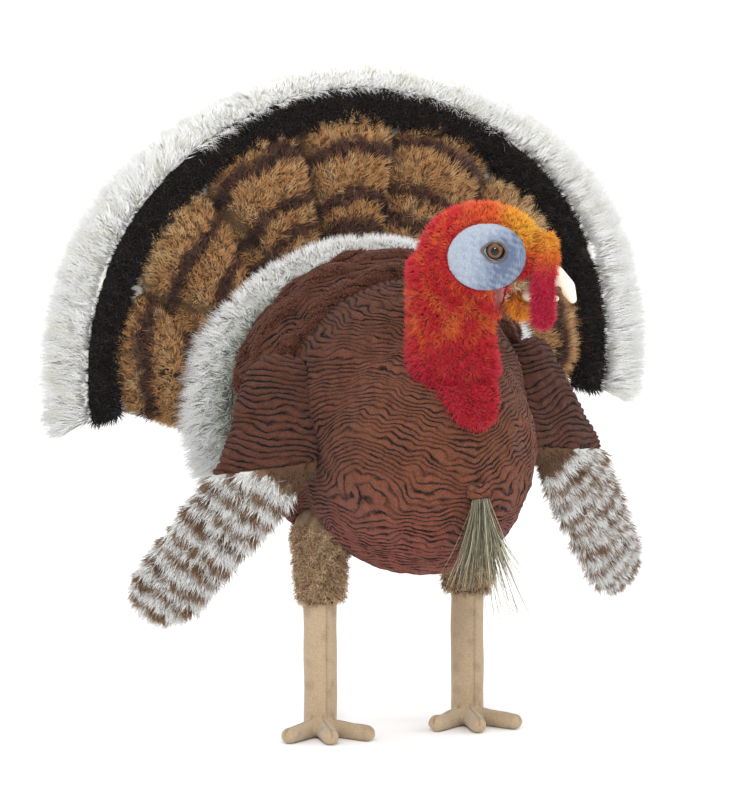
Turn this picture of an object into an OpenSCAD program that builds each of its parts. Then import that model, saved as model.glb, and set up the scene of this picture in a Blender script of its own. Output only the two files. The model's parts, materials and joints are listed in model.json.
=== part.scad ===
// Plush turkey hand puppet: a stuffed sewn body with a hand way through it, a raised tail fan,
// two hanging wings, two dangling legs, and a neck and head that a hand moves from inside.
// Millimetres. +Z is up, the bird faces -Y, and its right side is at -X. Inside the modules heights count
// from the ankles, and placed() sets the finished bird on the floor.

/* [Body] */
// Height of the chest's centre above the ankles
torso_z = 178; // [174:1:182]
// Half width of the chest
torso_half_w = 74; // [70:1:74]
// Half length of the chest, front to back
torso_half_l = 99; // [97:1:101]
// Half height of the chest
torso_half_h = 83; // [80:1:84]
// Half width of the back's hump
hump_half_w = 100; // [96:1:102]
// Half height of the back's hump
hump_half_h = 94; // [90:1:96]
// Thickness of the sewn plush skin
skin_t = 2.4; // [1.6:0.2:3]

/* [Hand way] */
// Radius of the hand opening under the rump
entry_r = 31; // [28:1:31]
// Radius of the run that leads forward to the neck
run_r = 28; // [24:1:28]
// Height of that run's axis above the ankles
run_z = 162; // [158:1:164]
// Thickness of the lining cloth
lining_t = 1.2; // [0.8:0.2:1.6]

/* [Neck and head] */
// Outer radius of the neck sleeve, without its pile
neck_r = 25.5; // [24:0.5:26]
// Height of the head's lower edge above the ankles
head_base_z = 272.4; // [272:0.2:274]
// How far the head is turned to the bird's left at rest, degrees
head_turn = 52; // [0:1:60]
// Half width of the head
head_half_w = 26.5; // [25:0.5:28]
// Half length of the head
head_half_l = 40; // [38:1:41]
// Half height of the head
head_half_h = 35; // [34:1:36]
// Radius of an eye
eye_r = 7; // [6:0.5:7.5]

/* [Wings] */
// Distance of a shoulder from the middle of the bird
shoulder_x = 90; // [89:1:94]
// Half the width of the barred part of a wing
wing_half_w = 32; // [28:1:33]
// Half the thickness of a wing
wing_half_t = 6; // [5:0.5:6.5]

/* [Legs] */
// Distance of a leg from the middle of the bird
leg_x = 53; // [51:1:55]
// Radius of a shank
shank_r = 10.8; // [10:0.2:12]
// Length of a front toe, from the shank's axis to the centre of its tip
toe_l = 40; // [36:1:42]
// Angle between two front toes, degrees
toe_spread = 40; // [32:1:44]
// How far both feet are turned to the bird's right at rest, degrees
toe_turn = 15; // [0:1:20]

/* [Tail] */
// Radius of the fan at the outer edge of its barred panels
panel_r = 166; // [160:1:168]
// Radius of the fan at the outer edge of its dark band
band_r = 185.5; // [180:0.5:188]
// Radius of the fan at the outer edge of its white fringe
fringe_r = 205; // [200:1:208]
// Thickness of a barred panel
panel_t = 11.5; // [8:0.5:12]
// How far each end of the fan comes round from the top, degrees
fan_end = 99; // [92:1:104]

/* [Beard] */
// Length of the beard tuft
beard_l = 62; // [50:1:64]
// Width of the beard tuft at its end
beard_w = 36; // [20:1:40]

/* [Hidden] */
$fn = 48;
hull_fn = 16;            // facets round the children of a small hull
body_fn = 28;            // facets round the body's rounded forms
shell_fn = 40;           // facets round the head's shell
toe_fn = 18;             // facets round a toe
gap = 0.3;               // between two layers of one body
play = 0.9;              // between two bodies that turn against each other
stand_y = 24.27;         // sets the bird so that its box is centred front to back
ankle_z = 13;            // height of the ankles above the floor
far = 400;               // longer than the bird
torso_at = [0, -22, torso_z];
torso_semi = [torso_half_w, torso_half_l, torso_half_h];
hump_at = [0, 24, 198];
hump_semi = [hump_half_w, 45, hump_half_h];
yoke_at = [0, -4, 198];  // fills in between the chest and the hump
yoke_semi = [84, 70, 86];
rump_y = 69;             // flat seat of the tail on the rump
entry_y = 28;            // axis of the hand opening
neck_at = [0, -80, 238]; // middle of the joint between chest and neck
neck_ball_r = neck_r + 3;
neck_wall = 3;
neck_nods = [-12, 30];
head_at = [0, -21, 306];
head_semi = [head_half_w, head_half_l, head_half_h];
mouth_z = 290.8;         // the roof of the mouth
mouth_y = -32.8;         // the back of the mouth
eye_y = -34.7;
eye_z = 315;
snood_at = [-2, -62.5, 320];
snood_r = 6;
shoulder_at = [shoulder_x, -10, 226];
shoulder_half_w = 22;
shoulder_half_t = 12;
shoulder_half_l = 15;
wing_start = [106, -30, 172];
wing_tip = [161, 8, 89];
wing_chord = 22;         // turns the wing's flat to face the front and the side
hem_tilt = 8;            // slope of the hem between a wing's sleeve and its barred part
hip_at = [leg_x, 6, 122];
hip_r = 17.2;
thigh_end_z = 76;
thigh_end_r = 13.5;
leg_swings = [-25, 0, 25];
fan_z = 221;             // centre of the fan's outer circle
fan_root_z = 145;        // where the seams between the panels run together
fan_y = 71.5;            // front of the fan
root_r = 30;
tail_hinge_z = 152;
seam_angles = [-fan_end, -70, -41, -13, 13, 41, 70, fan_end];
panel_count = len(seam_angles) - 1;
fold_t = 4.5;            // how far a fold of the mantle stands up

function at_rim(angle, radius) = [radius * sin(angle), fan_z + radius * cos(angle)];

PANELS = [for (i = [1 : panel_count]) str("tail_panel_", i)];

// ---- shared helpers ----

module placed() {
    translate([0, stand_y, ankle_z]) children();
}

module ellipsoid(centre, semi, grow = 0, facets = 64) {
    translate(centre)
        scale([(semi[0] + grow) / 100, (semi[1] + grow) / 100, (semi[2] + grow) / 100])
            sphere(r = 100, $fn = facets);
}

// side is 1 for the bird's left and -1 for its right
module on_side(side) {
    if (side > 0) children();
    else mirror([1, 0, 0]) children();
}

// the outline of the fan's plane, X across and Z up, made t thick towards the back from y
module fan_slab(y, t) {
    translate([0, y + t, 0]) rotate([90, 0, 0]) linear_extrude(t) children();
}

// ---- body ----

module rounded(centre, semi, grow = 0) {
    hull() translate(centre) scale([semi[0] + grow, semi[1] + grow, semi[2] + grow])
        sphere(r = 1, $fn = body_fn);
}

module body_form(grow = 0) {
    intersection() {
        union() {
            rounded(torso_at, torso_semi, grow);
            rounded(hump_at, hump_semi, grow);
            rounded(yoke_at, yoke_semi, grow);
        }
        translate([-far, rump_y + grow - 2 * far, 0]) cube([2 * far, 2 * far, far]);
    }
}

// a round-ended tunnel from one point to another
module tunnel(from, to, radius) {
    hull() for (end = [from, to]) translate(end) sphere(r = radius, $fn = body_fn);
}

module hand_way(grow = 0) {
    bend = [0, entry_y, run_z];
    under_neck = [0, neck_at[1], run_z];
    tunnel([0, entry_y, 60], bend, entry_r + grow);
    tunnel(bend, under_neck, run_r + grow);
    tunnel(under_neck, neck_at, neck_r - 1.5 + grow);
}

// the room that the neck, the wings and the legs need in the body
module moving_room() {
    translate(neck_at) sphere(r = neck_ball_r + play, $fn = body_fn);
    translate(neck_at) hull() for (a = neck_nods)
        rotate([a, 0, 0]) cylinder(r = neck_r + play, h = 50, $fn = body_fn);
    for (side = [-1, 1]) on_side(side) {
        upper_wing(play);
        hull() for (a = [0 : 20 : 80])
            translate(shoulder_at) rotate([0, -a, 0]) translate(-shoulder_at) shoulder_disc(play);
        hull() {
            translate(hip_at) sphere(r = hip_r + play, $fn = body_fn);
            for (a = leg_swings) translate(hip_at) rotate([a, 0, 0]) translate([0, 0, -30])
                cylinder(r = hip_r + play - 1.5, h = 1, $fn = body_fn);
        }
    }
}

module body_shell() {
    color("#6B3A2B") placed() difference() {
        body_form();
        body_form(-skin_t);
        tunnel([0, entry_y, 60], [0, entry_y, run_z - entry_r], entry_r + lining_t + gap);
        tunnel([0, neck_at[1], run_z + 20], neck_at, neck_r - 1.5 + lining_t + gap);
        moving_room();
    }
}

module body_stuffing() {
    color("#F4F1E6") placed() difference() {
        body_form(-skin_t - gap);
        hand_way(lining_t + gap);
        moving_room();
    }
}

module hand_lining() {
    color("#3A2A26") placed() difference() {
        intersection() {
            hand_way(lining_t);
            body_form(-gap);
        }
        hand_way();
        moving_room();
    }
}

module opening_hem() {
    color("#2E1A16") placed() intersection() {
        difference() {
            tunnel([0, entry_y, 80], [0, entry_y, 130], entry_r + 3.4);
            tunnel([0, entry_y, 70], [0, entry_y, 130], entry_r + 0.2);
        }
        difference() {
            body_form(2.6);
            body_form(gap);
            moving_room();
        }
    }
}

// a crescent of puckered plush over the back, from y_front to y_rear, down to z_low
module mantle_fold(y_front, y_rear, z_low, rise) {
    color("#5A3228") placed() difference() {
        intersection() {
            body_form(rise);
            translate([-far / 2, y_front, z_low]) cube([far, y_rear - y_front, far]);
        }
        body_form(gap);
        moving_room();
    }
}

module mantle_front_fold() { mantle_fold(0, 15, 236, fold_t); }
module mantle_middle_fold() { mantle_fold(15.6, 31, 226, fold_t + 1); }
module mantle_rear_fold() { mantle_fold(31.6, 48, 216, fold_t); }

module rump_fringe() {
    color("#EEEDE4") placed() difference() {
        fan_slab(52, 14) difference() {
            translate([0, 198]) scale([1.12, 1]) circle(r = 104);
            translate([0, 198]) scale([1.1, 1]) circle(r = 86);
            translate([-far, 148 - far]) square([2 * far, far]);
        }
        ellipsoid(hump_at, hump_semi, gap);
    }
}

module neck_bib() {
    color("#E03A28") placed() difference() {
        intersection() {
            body_form(5);
            translate([0, 0, 226]) rotate([90, 0, 0]) scale([0.66, 1, 1])
                cylinder(r = 30, h = 160);
        }
        body_form(gap);
        moving_room();
    }
}

module beard_tab() {
    color("#5A3228") placed() difference() {
        translate([-7, -124.5, 157]) cube([14, 12, 9]);
        ellipsoid(torso_at, torso_semi, gap);
    }
}

// ---- tail, one body ----

module fan_sector(from, to) {
    reach = 1.6 * fringe_r;
    polygon([[0, fan_root_z], fan_root_reach(from, reach), fan_root_reach((from + to) / 2, reach),
             fan_root_reach(to, reach)]);
}

// a point on the line from the fan's root through the rim of the panels at that angle
function fan_root_reach(angle, reach) =
    let (rim = at_rim(angle, panel_r), run = [rim[0], rim[1] - fan_root_z])
    [0, fan_root_z] + run * (reach / norm(run));

module tail_panel(i) {
    color(i % 2 == 0 ? "#A9743F" : "#9A6636") placed() fan_slab(fan_y, panel_t)
        difference() {
            intersection() {
                translate([0, fan_z]) circle(r = panel_r, $fn = 96);
                fan_sector(seam_angles[i - 1], seam_angles[i]);
            }
            translate([0, fan_root_z]) circle(r = root_r);
        }
}

module fan_ring(r_in, r_out) {
    difference() {
        translate([0, fan_z]) circle(r = r_out, $fn = 96);
        translate([0, fan_z]) circle(r = r_in, $fn = 96);
        polygon([[0, fan_z], at_rim(-fan_end, far), [-far, fan_z - far],
                 [far, fan_z - far], at_rim(fan_end, far)]);
    }
}

module tail_black_band() {
    color("#1E1512") placed() fan_slab(fan_y + 1.5, 10) fan_ring(panel_r + gap, band_r);
}

module tail_white_fringe() {
    color("#EEEDE4") placed() fan_slab(fan_y + 3, 12) fan_ring(band_r + gap, fringe_r);
}

module tail_root() {
    color("#5A3228") placed() fan_slab(fan_y, panel_t) intersection() {
        translate([0, fan_root_z]) circle(r = root_r - gap);
        translate([-root_r, tail_hinge_z]) square([2 * root_r, root_r]);
    }
}

module fan_plate(radius) {
    intersection() {
        translate([0, fan_z]) circle(r = radius, $fn = 96);
        polygon([[-12, tail_hinge_z], fan_root_reach(-fan_end, far), [-far, far], [0, 1.6 * far],
                 [far, far], fan_root_reach(fan_end, far), [12, tail_hinge_z]]);
    }
}

module tail_batting() {
    color("#F4F1E6") placed() fan_slab(fan_y + panel_t + gap, 4) fan_plate(panel_r);
}

module tail_back() {
    color("#4A2C22") placed() fan_slab(fan_y + panel_t + 4 + 2 * gap, 2.4) fan_plate(band_r - 1);
}

// ---- neck, one body ----

module neck_sleeve() {
    color("#D8202E") placed() difference() {
        union() {
            translate(neck_at) sphere(r = neck_ball_r);
            translate(neck_at) cylinder(r = neck_r, h = head_base_z - 0.4 - neck_at[2]);
        }
        translate([0, neck_at[1], 150]) cylinder(r = neck_r - neck_wall, h = 200);
    }
}

module neck_lining() {
    color("#3A2A26") placed() translate([0, neck_at[1], neck_at[2] - 17])
        difference() {
            cylinder(r = neck_r - neck_wall - gap, h = head_base_z - 0.4 - neck_at[2] + 17);
            translate([0, 0, -1]) cylinder(r = neck_r - neck_wall - gap - lining_t, h = 80);
        }
}

// ---- head, one body: drawn facing -Y about the neck's axis, then turned ----

module in_head() {
    placed() translate([0, neck_at[1], 0]) rotate([0, 0, head_turn]) children();
}

module head_form(grow = 0, facets = 64) {
    intersection() {
        union() {
            ellipsoid(head_at, head_semi, grow, facets);
            translate([0, 0, head_base_z - 40]) cylinder(r = neck_r + grow, h = 72);
        }
        translate([-far / 2, -far / 2, head_base_z]) cube(far);
    }
}

module mouth_room(grow = 0) {
    translate([-60, mouth_y + grow - far, 0]) cube([120, far, mouth_z + grow]);
}

module finger_way(grow = 0) {
    translate([0, 0, head_base_z - 20]) cylinder(r = 19 + grow, h = 48 + grow);
}

// the line of an eye's stem, from the middle of the head to the bird's left
module eye_line(r, from_x, to_x) {
    translate([from_x, eye_y, eye_z]) rotate([0, 90, 0]) cylinder(r = r, h = to_x - from_x);
}

module head_shell() {
    color("#E4432A") in_head() difference() {
        head_form(facets = shell_fn);
        ellipsoid(head_at, head_semi, -skin_t, shell_fn);
        translate([0, 0, head_base_z - 20]) cylinder(r = neck_r - skin_t, h = 50);
        mouth_room();
        snood_links(1, 1, play);
        for (side = [-1, 1]) on_side(side) eye_line(2.2, 10, 40);
    }
}

module head_stuffing() {
    color("#F4F1E6") in_head() difference() {
        union() {
            ellipsoid(head_at, head_semi, -skin_t - gap);
            translate([0, 0, head_base_z]) cylinder(r = neck_r - skin_t - gap, h = 24);
        }
        translate([-far / 2, -far / 2, head_base_z - far]) cube(far);
        finger_way(lining_t + gap);
        mouth_room(1.8);
        translate(snood_at) sphere(r = snood_r + play);
        for (side = [-1, 1]) on_side(side) eye_line(6.8, 16.6, 40);
    }
}

module finger_pocket() {
    color("#3A2A26") in_head() intersection() {
        difference() {
            finger_way(lining_t);
            finger_way();
        }
        translate([-far / 2, -far / 2, head_base_z]) cube(far);
    }
}

module upper_mouth_board() {
    color("#B0413A") in_head() translate([-11, -48.2, mouth_z + 0.2]) cube([22, 13.2, 1.2]);
}

module face_patch(side) {
    color("#C9D3E2") in_head() on_side(side) difference() {
        intersection() {
            translate([5, -28, 311]) rotate([0, 90, 0]) scale([0.86, 1, 1])
                cylinder(r = 25, h = 40);
            head_form(2);
        }
        head_form(gap);
        mouth_room();
        translate(snood_at) sphere(r = snood_r + play + 2);
        mirror([1, 0, 0]) translate(snood_at) sphere(r = snood_r + play + 2);
        eye_line(2.2, 10, 40);
    }
}

module eye_ball(grow = 0) {
    translate([head_half_w - 3.8, eye_y, eye_z]) sphere(r = eye_r + grow);
}

module eye(side) {
    color("#3A2012") in_head() on_side(side) {
        difference() {
            eye_ball();
            head_form(2.3);
        }
        eye_line(1.6, 17, head_half_w + 1);
    }
}

module eye_rim(side) {
    color("#16110F") in_head() on_side(side) difference() {
        intersection() {
            eye_line(eye_r + 1.4, 20, 40);
            head_form(3.4);
        }
        head_form(2.3);
        eye_ball(0.2);
    }
}

module eye_washer(side) {
    color("#EFEFEF") in_head() on_side(side) difference() {
        eye_line(6, 17, 18.2);
        eye_line(1.8, 16, 19);
    }
}

// a hull down a chain of [y, z, radius] on the middle plane, squeezed across by slim
module beak_chain(chain, slim) {
    scale([slim, 1, 1]) for (i = [1 : len(chain) - 1]) hull() {
        for (link = [chain[i - 1], chain[i]])
            translate([0, link[0], link[1]]) sphere(r = link[2], $fn = hull_fn);
    }
}

module upper_beak() {
    color("#D9C49A") in_head() difference() {
        beak_chain([[-53, 300, 8.5], [-67, 297.5, 7.6], [-76, 290.5, 5.4], [-79.8, 282.5, 2.8]], 0.95);
        head_form(2.3);
        translate([-60, -73, mouth_z + 0.4 - far]) cube([120, 60, far]);
        translate(snood_at) sphere(r = snood_r + play);
    }
}

module lower_beak_form() {
    beak_chain([[-50, 284.4, 4.2], [-60, 284.2, 3.8], [-69, 282.8, 2.2]], 1.3);
}

module lower_beak() {
    color("#CDB68C") in_head() lower_beak_form();
}

module lower_mouth_board() {
    color("#B0413A") in_head() translate([-9, -53, 289.2]) cube([18, 18, 1]);
}

module chin_plush() {
    color("#F9A72B") in_head() difference() {
        ellipsoid([0, -46.5, 279.7], [9.5, 8, 8.5]);
        translate([0, -65.2, 283.6]) cube([40, 40, 10.4], center = true);
        translate([-20, -87, 279.3]) cube([40, 41.8, 20]);
    }
}

// the links of the snood's chain from the first to the last asked for
module snood_links(first, last, grow = 0) {
    run = [[snood_at, [1, 1, 1] * snood_r], [[-11, -66, 310], [5.2, 5.5, 5.5]],
           [[-18, -64, 296], [4, 6.5, 6.5]], [[-18, -64, 273], [4, 6.5, 6.5]]];
    for (i = [first : last]) hull() for (stop = [run[i - 1], run[i]])
        translate(stop[0]) scale([for (semi = stop[1]) (semi + grow) / 10]) sphere(r = 10, $fn = hull_fn);
}

module snood() {
    color("#D42048") in_head() snood_links(1, 3);
}

// ---- wings, each one body ----

module wing_disc(at, half_w, half_l, grow) {
    translate(at) rotate([0, 0, wing_chord])
        scale([(half_w + grow) / 10, (wing_half_t + grow) / 10, (half_l + grow) / 10])
            sphere(r = 10, $fn = hull_fn);
}

module shoulder_disc(grow) {
    translate(shoulder_at) rotate([0, 0, wing_chord])
        scale([shoulder_half_w + grow, shoulder_half_t + grow, shoulder_half_l + grow] / 10)
            sphere(r = 10, $fn = hull_fn);
}

module upper_wing(grow = 0) {
    hull() {
        shoulder_disc(grow);
        wing_disc(wing_start, wing_half_w, 12, grow);
    }
}

module wing_form(grow = 0) {
    upper_wing(grow);
    hull() {
        wing_disc(wing_start, wing_half_w, 12, grow);
        wing_disc(wing_tip, wing_half_w * 0.72, 20, grow);
    }
}

// the half of space on the shoulder's side (1) or the tip's side (-1) of the sleeve's hem
module beyond_hem(way) {
    translate(wing_start) rotate([0, hem_tilt, 0])
        translate([-far / 2, -far / 2, way > 0 ? -0.2 : 0.2 - far]) cube(far);
}

module wing_sleeve(side) {
    color("#5A3228") placed() on_side(side) difference() {
        wing_form();
        wing_form(-1.6);
        beyond_hem(-1);
    }
}

module wing_feathers(side) {
    color("#CBBBA8") placed() on_side(side) difference() {
        wing_form();
        wing_form(-1.6);
        beyond_hem(1);
    }
}

module wing_stuffing(side) {
    color("#F4F1E6") placed() on_side(side) wing_form(-1.9);
}

// ---- legs, each one body ----

module thigh_form(grow = 0, open = 0) {
    translate(hip_at) sphere(r = hip_r + grow);
    translate([hip_at[0], hip_at[1], thigh_end_z - open])
        cylinder(r1 = thigh_end_r + grow, r2 = hip_r + grow - 0.2, h = hip_at[2] - thigh_end_z + open);
}

module toe(turn, length, grow) {
    hull() {
        translate([0, 0, 5.4 - ankle_z]) sphere(r = 6.4 + grow, $fn = toe_fn);
        translate([length * sin(turn), -length * cos(turn), 5.2 - ankle_z])
            sphere(r = 5.4 + grow, $fn = toe_fn);
    }
}

module foot_form(side, grow = 0) {
    intersection() {
        translate([hip_at[0], hip_at[1], 0]) {
            translate([0, 0, -ankle_z - 2])
                cylinder(r = shank_r + grow, h = thigh_end_z + ankle_z + 2 - gap);
            for (i = [-1 : 1]) toe(i * toe_spread - side * toe_turn, toe_l, grow);
            toe(180 - side * toe_turn, 24, grow);
        }
        translate([-far / 2, -far / 2, -ankle_z - grow]) cube(far);
    }
}

module thigh_cover(side) {
    color("#8B6B48") placed() on_side(side) difference() {
        thigh_form();
        thigh_form(-1.6, 5);
    }
}

module foot_cover(side) {
    color("#CDB68C") placed() on_side(side) difference() {
        foot_form(side);
        foot_form(side, -1.4);
    }
}

module leg_stuffing(side) {
    color("#F4F1E6") placed() on_side(side) {
        translate([hip_at[0], hip_at[1], 7 - ankle_z])
            cylinder(r = shank_r - 1.8, h = thigh_end_z + ankle_z + 6);
        translate([hip_at[0], hip_at[1], thigh_end_z + gap])
            cylinder(r1 = thigh_end_r - 1.9, r2 = hip_r - 2.1, h = hip_at[2] - thigh_end_z - gap);
        translate(hip_at) sphere(r = hip_r - 1.9);
    }
}

// ---- beard, one body ----

module beard_tuft() {
    color("#6B6A5C") placed() translate([0, -123.5, 155.5]) rotate([90, 0, 0])
        translate([0, 0, -2]) linear_extrude(6) polygon([
            [-5, 0], [-beard_w / 2, -0.75 * beard_l], [-beard_w / 3, -beard_l],
            [beard_w / 3, -beard_l], [beard_w / 2, -0.75 * beard_l], [5, 0]]);
}

// ---- nodes ----

body_shell();
body_stuffing();
hand_lining();
opening_hem();
mantle_front_fold();
mantle_middle_fold();
mantle_rear_fold();
rump_fringe();
neck_bib();
beard_tab();
for (i = [1 : panel_count]) tail_panel(i);
tail_black_band();
tail_white_fringe();
tail_root();
tail_batting();
tail_back();
neck_sleeve();
neck_lining();
head_shell();
head_stuffing();
finger_pocket();
upper_mouth_board();
upper_beak();
face_patch(1);  // face_patch_left
face_patch(-1);  // face_patch_right
eye(1);  // eye_left
eye(-1);  // eye_right
eye_rim(1);  // eye_rim_left
eye_rim(-1);  // eye_rim_right
eye_washer(1);  // eye_washer_left
eye_washer(-1);  // eye_washer_right
snood();
lower_beak();
lower_mouth_board();
chin_plush();
wing_sleeve(1);  // wing_sleeve_left
wing_sleeve(-1);  // wing_sleeve_right
wing_feathers(1);  // wing_feathers_left
wing_feathers(-1);  // wing_feathers_right
wing_stuffing(1);  // wing_stuffing_left
wing_stuffing(-1);  // wing_stuffing_right
thigh_cover(1);  // thigh_cover_left
thigh_cover(-1);  // thigh_cover_right
foot_cover(1);  // foot_cover_left
foot_cover(-1);  // foot_cover_right
leg_stuffing(1);  // leg_stuffing_left
leg_stuffing(-1);  // leg_stuffing_right
beard_tuft();
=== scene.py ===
"""Plush turkey hand puppet: the soft pieces and their finishes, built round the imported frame.

Sizes inside the classes are millimetres in the bird's own frame, where heights count from the ankles, +Z is
up and the bird faces -Y. placed() turns them into metres in the frame that every piece shares.
"""

from __future__ import annotations

import json
import logging
import math
from collections.abc import Callable
from dataclasses import dataclass, field
from enum import Enum

import bpy
import numpy as np
from mathutils import Matrix, Vector

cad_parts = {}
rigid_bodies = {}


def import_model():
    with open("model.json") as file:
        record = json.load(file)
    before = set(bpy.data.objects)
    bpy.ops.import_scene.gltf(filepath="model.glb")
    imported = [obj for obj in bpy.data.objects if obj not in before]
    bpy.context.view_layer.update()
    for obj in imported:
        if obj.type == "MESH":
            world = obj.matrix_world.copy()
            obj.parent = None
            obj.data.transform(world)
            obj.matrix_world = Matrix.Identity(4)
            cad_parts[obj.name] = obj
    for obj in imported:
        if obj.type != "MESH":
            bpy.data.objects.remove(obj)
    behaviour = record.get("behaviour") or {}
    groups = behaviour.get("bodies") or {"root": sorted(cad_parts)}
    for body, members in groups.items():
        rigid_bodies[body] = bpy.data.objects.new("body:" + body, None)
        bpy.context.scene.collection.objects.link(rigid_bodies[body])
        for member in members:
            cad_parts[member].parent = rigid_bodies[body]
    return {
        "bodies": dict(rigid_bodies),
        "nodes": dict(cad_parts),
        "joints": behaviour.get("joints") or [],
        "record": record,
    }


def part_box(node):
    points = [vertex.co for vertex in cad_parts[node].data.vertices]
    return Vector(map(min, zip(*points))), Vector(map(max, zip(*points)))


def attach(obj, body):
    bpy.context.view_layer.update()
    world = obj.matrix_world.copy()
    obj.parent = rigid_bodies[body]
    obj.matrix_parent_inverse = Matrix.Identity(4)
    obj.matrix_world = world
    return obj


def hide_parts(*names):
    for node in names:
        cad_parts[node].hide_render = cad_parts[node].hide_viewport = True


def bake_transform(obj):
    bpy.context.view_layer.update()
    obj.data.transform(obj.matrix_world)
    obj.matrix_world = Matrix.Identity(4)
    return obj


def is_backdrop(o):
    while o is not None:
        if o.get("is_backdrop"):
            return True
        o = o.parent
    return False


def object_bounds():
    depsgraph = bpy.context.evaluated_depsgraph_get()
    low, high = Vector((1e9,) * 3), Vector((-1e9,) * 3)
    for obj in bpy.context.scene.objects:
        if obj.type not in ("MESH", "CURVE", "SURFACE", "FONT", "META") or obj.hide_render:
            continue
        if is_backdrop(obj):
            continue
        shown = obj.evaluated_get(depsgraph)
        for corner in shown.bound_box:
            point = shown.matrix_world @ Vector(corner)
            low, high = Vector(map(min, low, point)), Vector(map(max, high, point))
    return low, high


LOG = logging.getLogger("turkey")
MM = 0.001
HIDDEN_SKIN = 0.35  # share of its faces that a skin keeps under its pile
ANKLE_Z = 13.0  # mm, from the floor up to the level that the bird's heights count from
SET_DOWN = np.array([0.0, 24.27, ANKLE_Z])  # mm, from the bird's own frame to the shared one
TINT = "tint"  # the colour attribute that every plush finish reads
DRIFT_MEAN = 0.75  # ridges that the finish adds to the count on average
FOLDS = "folds"  # counts the ridges of crinkled plush along its skin
Field = Callable[[np.ndarray], np.ndarray]


# ---- small tools ----


def linear(code: str) -> tuple[float, float, float]:
    """Turn an sRGB hex colour to linear.

    Args:
        code: six hex digits after a #.

    Returns:
        Linear red, green and blue.
    """
    parts = [int(code[i : i + 2], 16) / 255 for i in (1, 3, 5)]
    red, green, blue = (c / 12.92 if c <= 0.04045 else ((c + 0.055) / 1.055) ** 2.4 for c in parts)
    return red, green, blue


def shades(*codes: str) -> np.ndarray:
    """Return hex colours as rows of linear RGB."""
    return np.array([linear(code) for code in codes])


def ramp(value: np.ndarray, low: float, high: float) -> np.ndarray:
    """Return a smooth step from 0 at low to 1 at high."""
    share = np.clip((value - low) / (high - low), 0, 1)
    return share * share * (3 - 2 * share)


def mixed(first: np.ndarray, second: np.ndarray, share: np.ndarray) -> np.ndarray:
    """Return first turned into second by a share for each row."""
    return first + (second - first) * np.asarray(share)[..., None]


def unit(rows: np.ndarray) -> np.ndarray:
    """Return each row at length one."""
    return rows / np.maximum(np.linalg.norm(rows, axis=-1, keepdims=True), 1e-9)


def waves(points: np.ndarray, size: float, seed: int, count: int = 7) -> np.ndarray:
    """Make smooth seeded noise out of plane waves.

    Args:
        points: rows of millimetres.
        size: about how far apart the crests are, in mm.
        seed: picks the waves.
        count: how many waves are summed.

    Returns:
        One value a point, mostly from -1 to 1.
    """
    rng = np.random.default_rng(seed)
    total = np.zeros(len(points))
    for _ in range(count):
        way = unit(rng.normal(size=3)) * 2 * math.pi / (size * rng.uniform(0.7, 1.5))
        total += np.sin(points @ way + rng.uniform(0, 2 * math.pi))
    return total * 1.6 / count


def placed(points: np.ndarray) -> np.ndarray:
    """Turn millimetres in the bird's frame to metres in the shared one."""
    return (np.asarray(points, float) + SET_DOWN) * MM


def at(point: tuple[float, float, float]) -> Vector:
    """Return one point of the bird's frame, placed."""
    return Vector(placed(np.array(point)))


def points_of(piece: bpy.types.Object) -> np.ndarray:
    """Return a mesh's vertices in the bird's millimetres."""
    flat = np.empty(len(piece.data.vertices) * 3)
    piece.data.vertices.foreach_get("co", flat)
    return flat.reshape(-1, 3) / MM - SET_DOWN


def normals_of(piece: bpy.types.Object) -> np.ndarray:
    """Return a mesh's vertex normals."""
    flat = np.empty(len(piece.data.vertices) * 3)
    piece.data.vertex_normals.foreach_get("vector", flat)
    return flat.reshape(-1, 3)


def move_points(piece: bpy.types.Object, points: np.ndarray) -> None:
    """Set a mesh's vertices from the bird's millimetres."""
    piece.data.vertices.foreach_set("co", placed(points).ravel())
    piece.data.update()


def paint(piece: bpy.types.Object, colours: np.ndarray) -> None:
    """Write linear colours to the piece's tint attribute, one a vertex."""
    layer = piece.data.color_attributes.get(TINT) or piece.data.color_attributes.new(
        TINT, "FLOAT_COLOR", "POINT"
    )
    rgba = np.ones((len(piece.data.vertices), 4))
    rgba[:, :3] = np.clip(colours, 0, 1)
    layer.data.foreach_set("color", rgba.ravel())


def deselect() -> None:
    """Leave edit mode's leftovers with nothing selected."""
    for thing in bpy.context.selected_objects:
        thing.select_set(False)


def take(piece: bpy.types.Object) -> None:
    """Make one object the only selected and the active one."""
    deselect()
    piece.select_set(True)
    bpy.context.view_layer.objects.active = piece


def named(name: str) -> bpy.types.Object:
    """Name the object an operator has just added, put its place into its mesh and return it."""
    piece = bpy.context.active_object
    piece.name = piece.data.name = name
    bpy.ops.object.transform_apply(location=True, rotation=True, scale=True)
    return piece


def finish_modifier(piece: bpy.types.Object, kind: str, **settings: object) -> None:
    """Add one modifier with its settings and apply it.

    Args:
        piece: the mesh object.
        kind: Blender's name for the modifier's type.
        **settings: properties of the modifier.
    """
    take(piece)
    modifier = piece.modifiers.new(kind.lower(), kind)
    for key, value in settings.items():
        setattr(modifier, key, value)
    bpy.ops.object.modifier_apply(modifier=modifier.name)


def remesh(piece: bpy.types.Object, voxel: float, smooth: int = 0) -> None:
    """Rebuild a closed mesh from even quads and relax it.

    Args:
        piece: the mesh object.
        voxel: size of a quad in mm.
        smooth: rounds of smoothing.
    """
    finish_modifier(piece, "REMESH", mode="VOXEL", voxel_size=voxel * MM, use_smooth_shade=True)
    if smooth:
        finish_modifier(piece, "SMOOTH", factor=0.5, iterations=smooth)


def cut_from(piece: bpy.types.Object, cutter: bpy.types.Object) -> None:
    """Take cutter's volume out of piece and remove the cutter."""
    finish_modifier(piece, "BOOLEAN", operation="DIFFERENCE", object=cutter, solver="EXACT")
    bpy.data.objects.remove(cutter)


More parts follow.
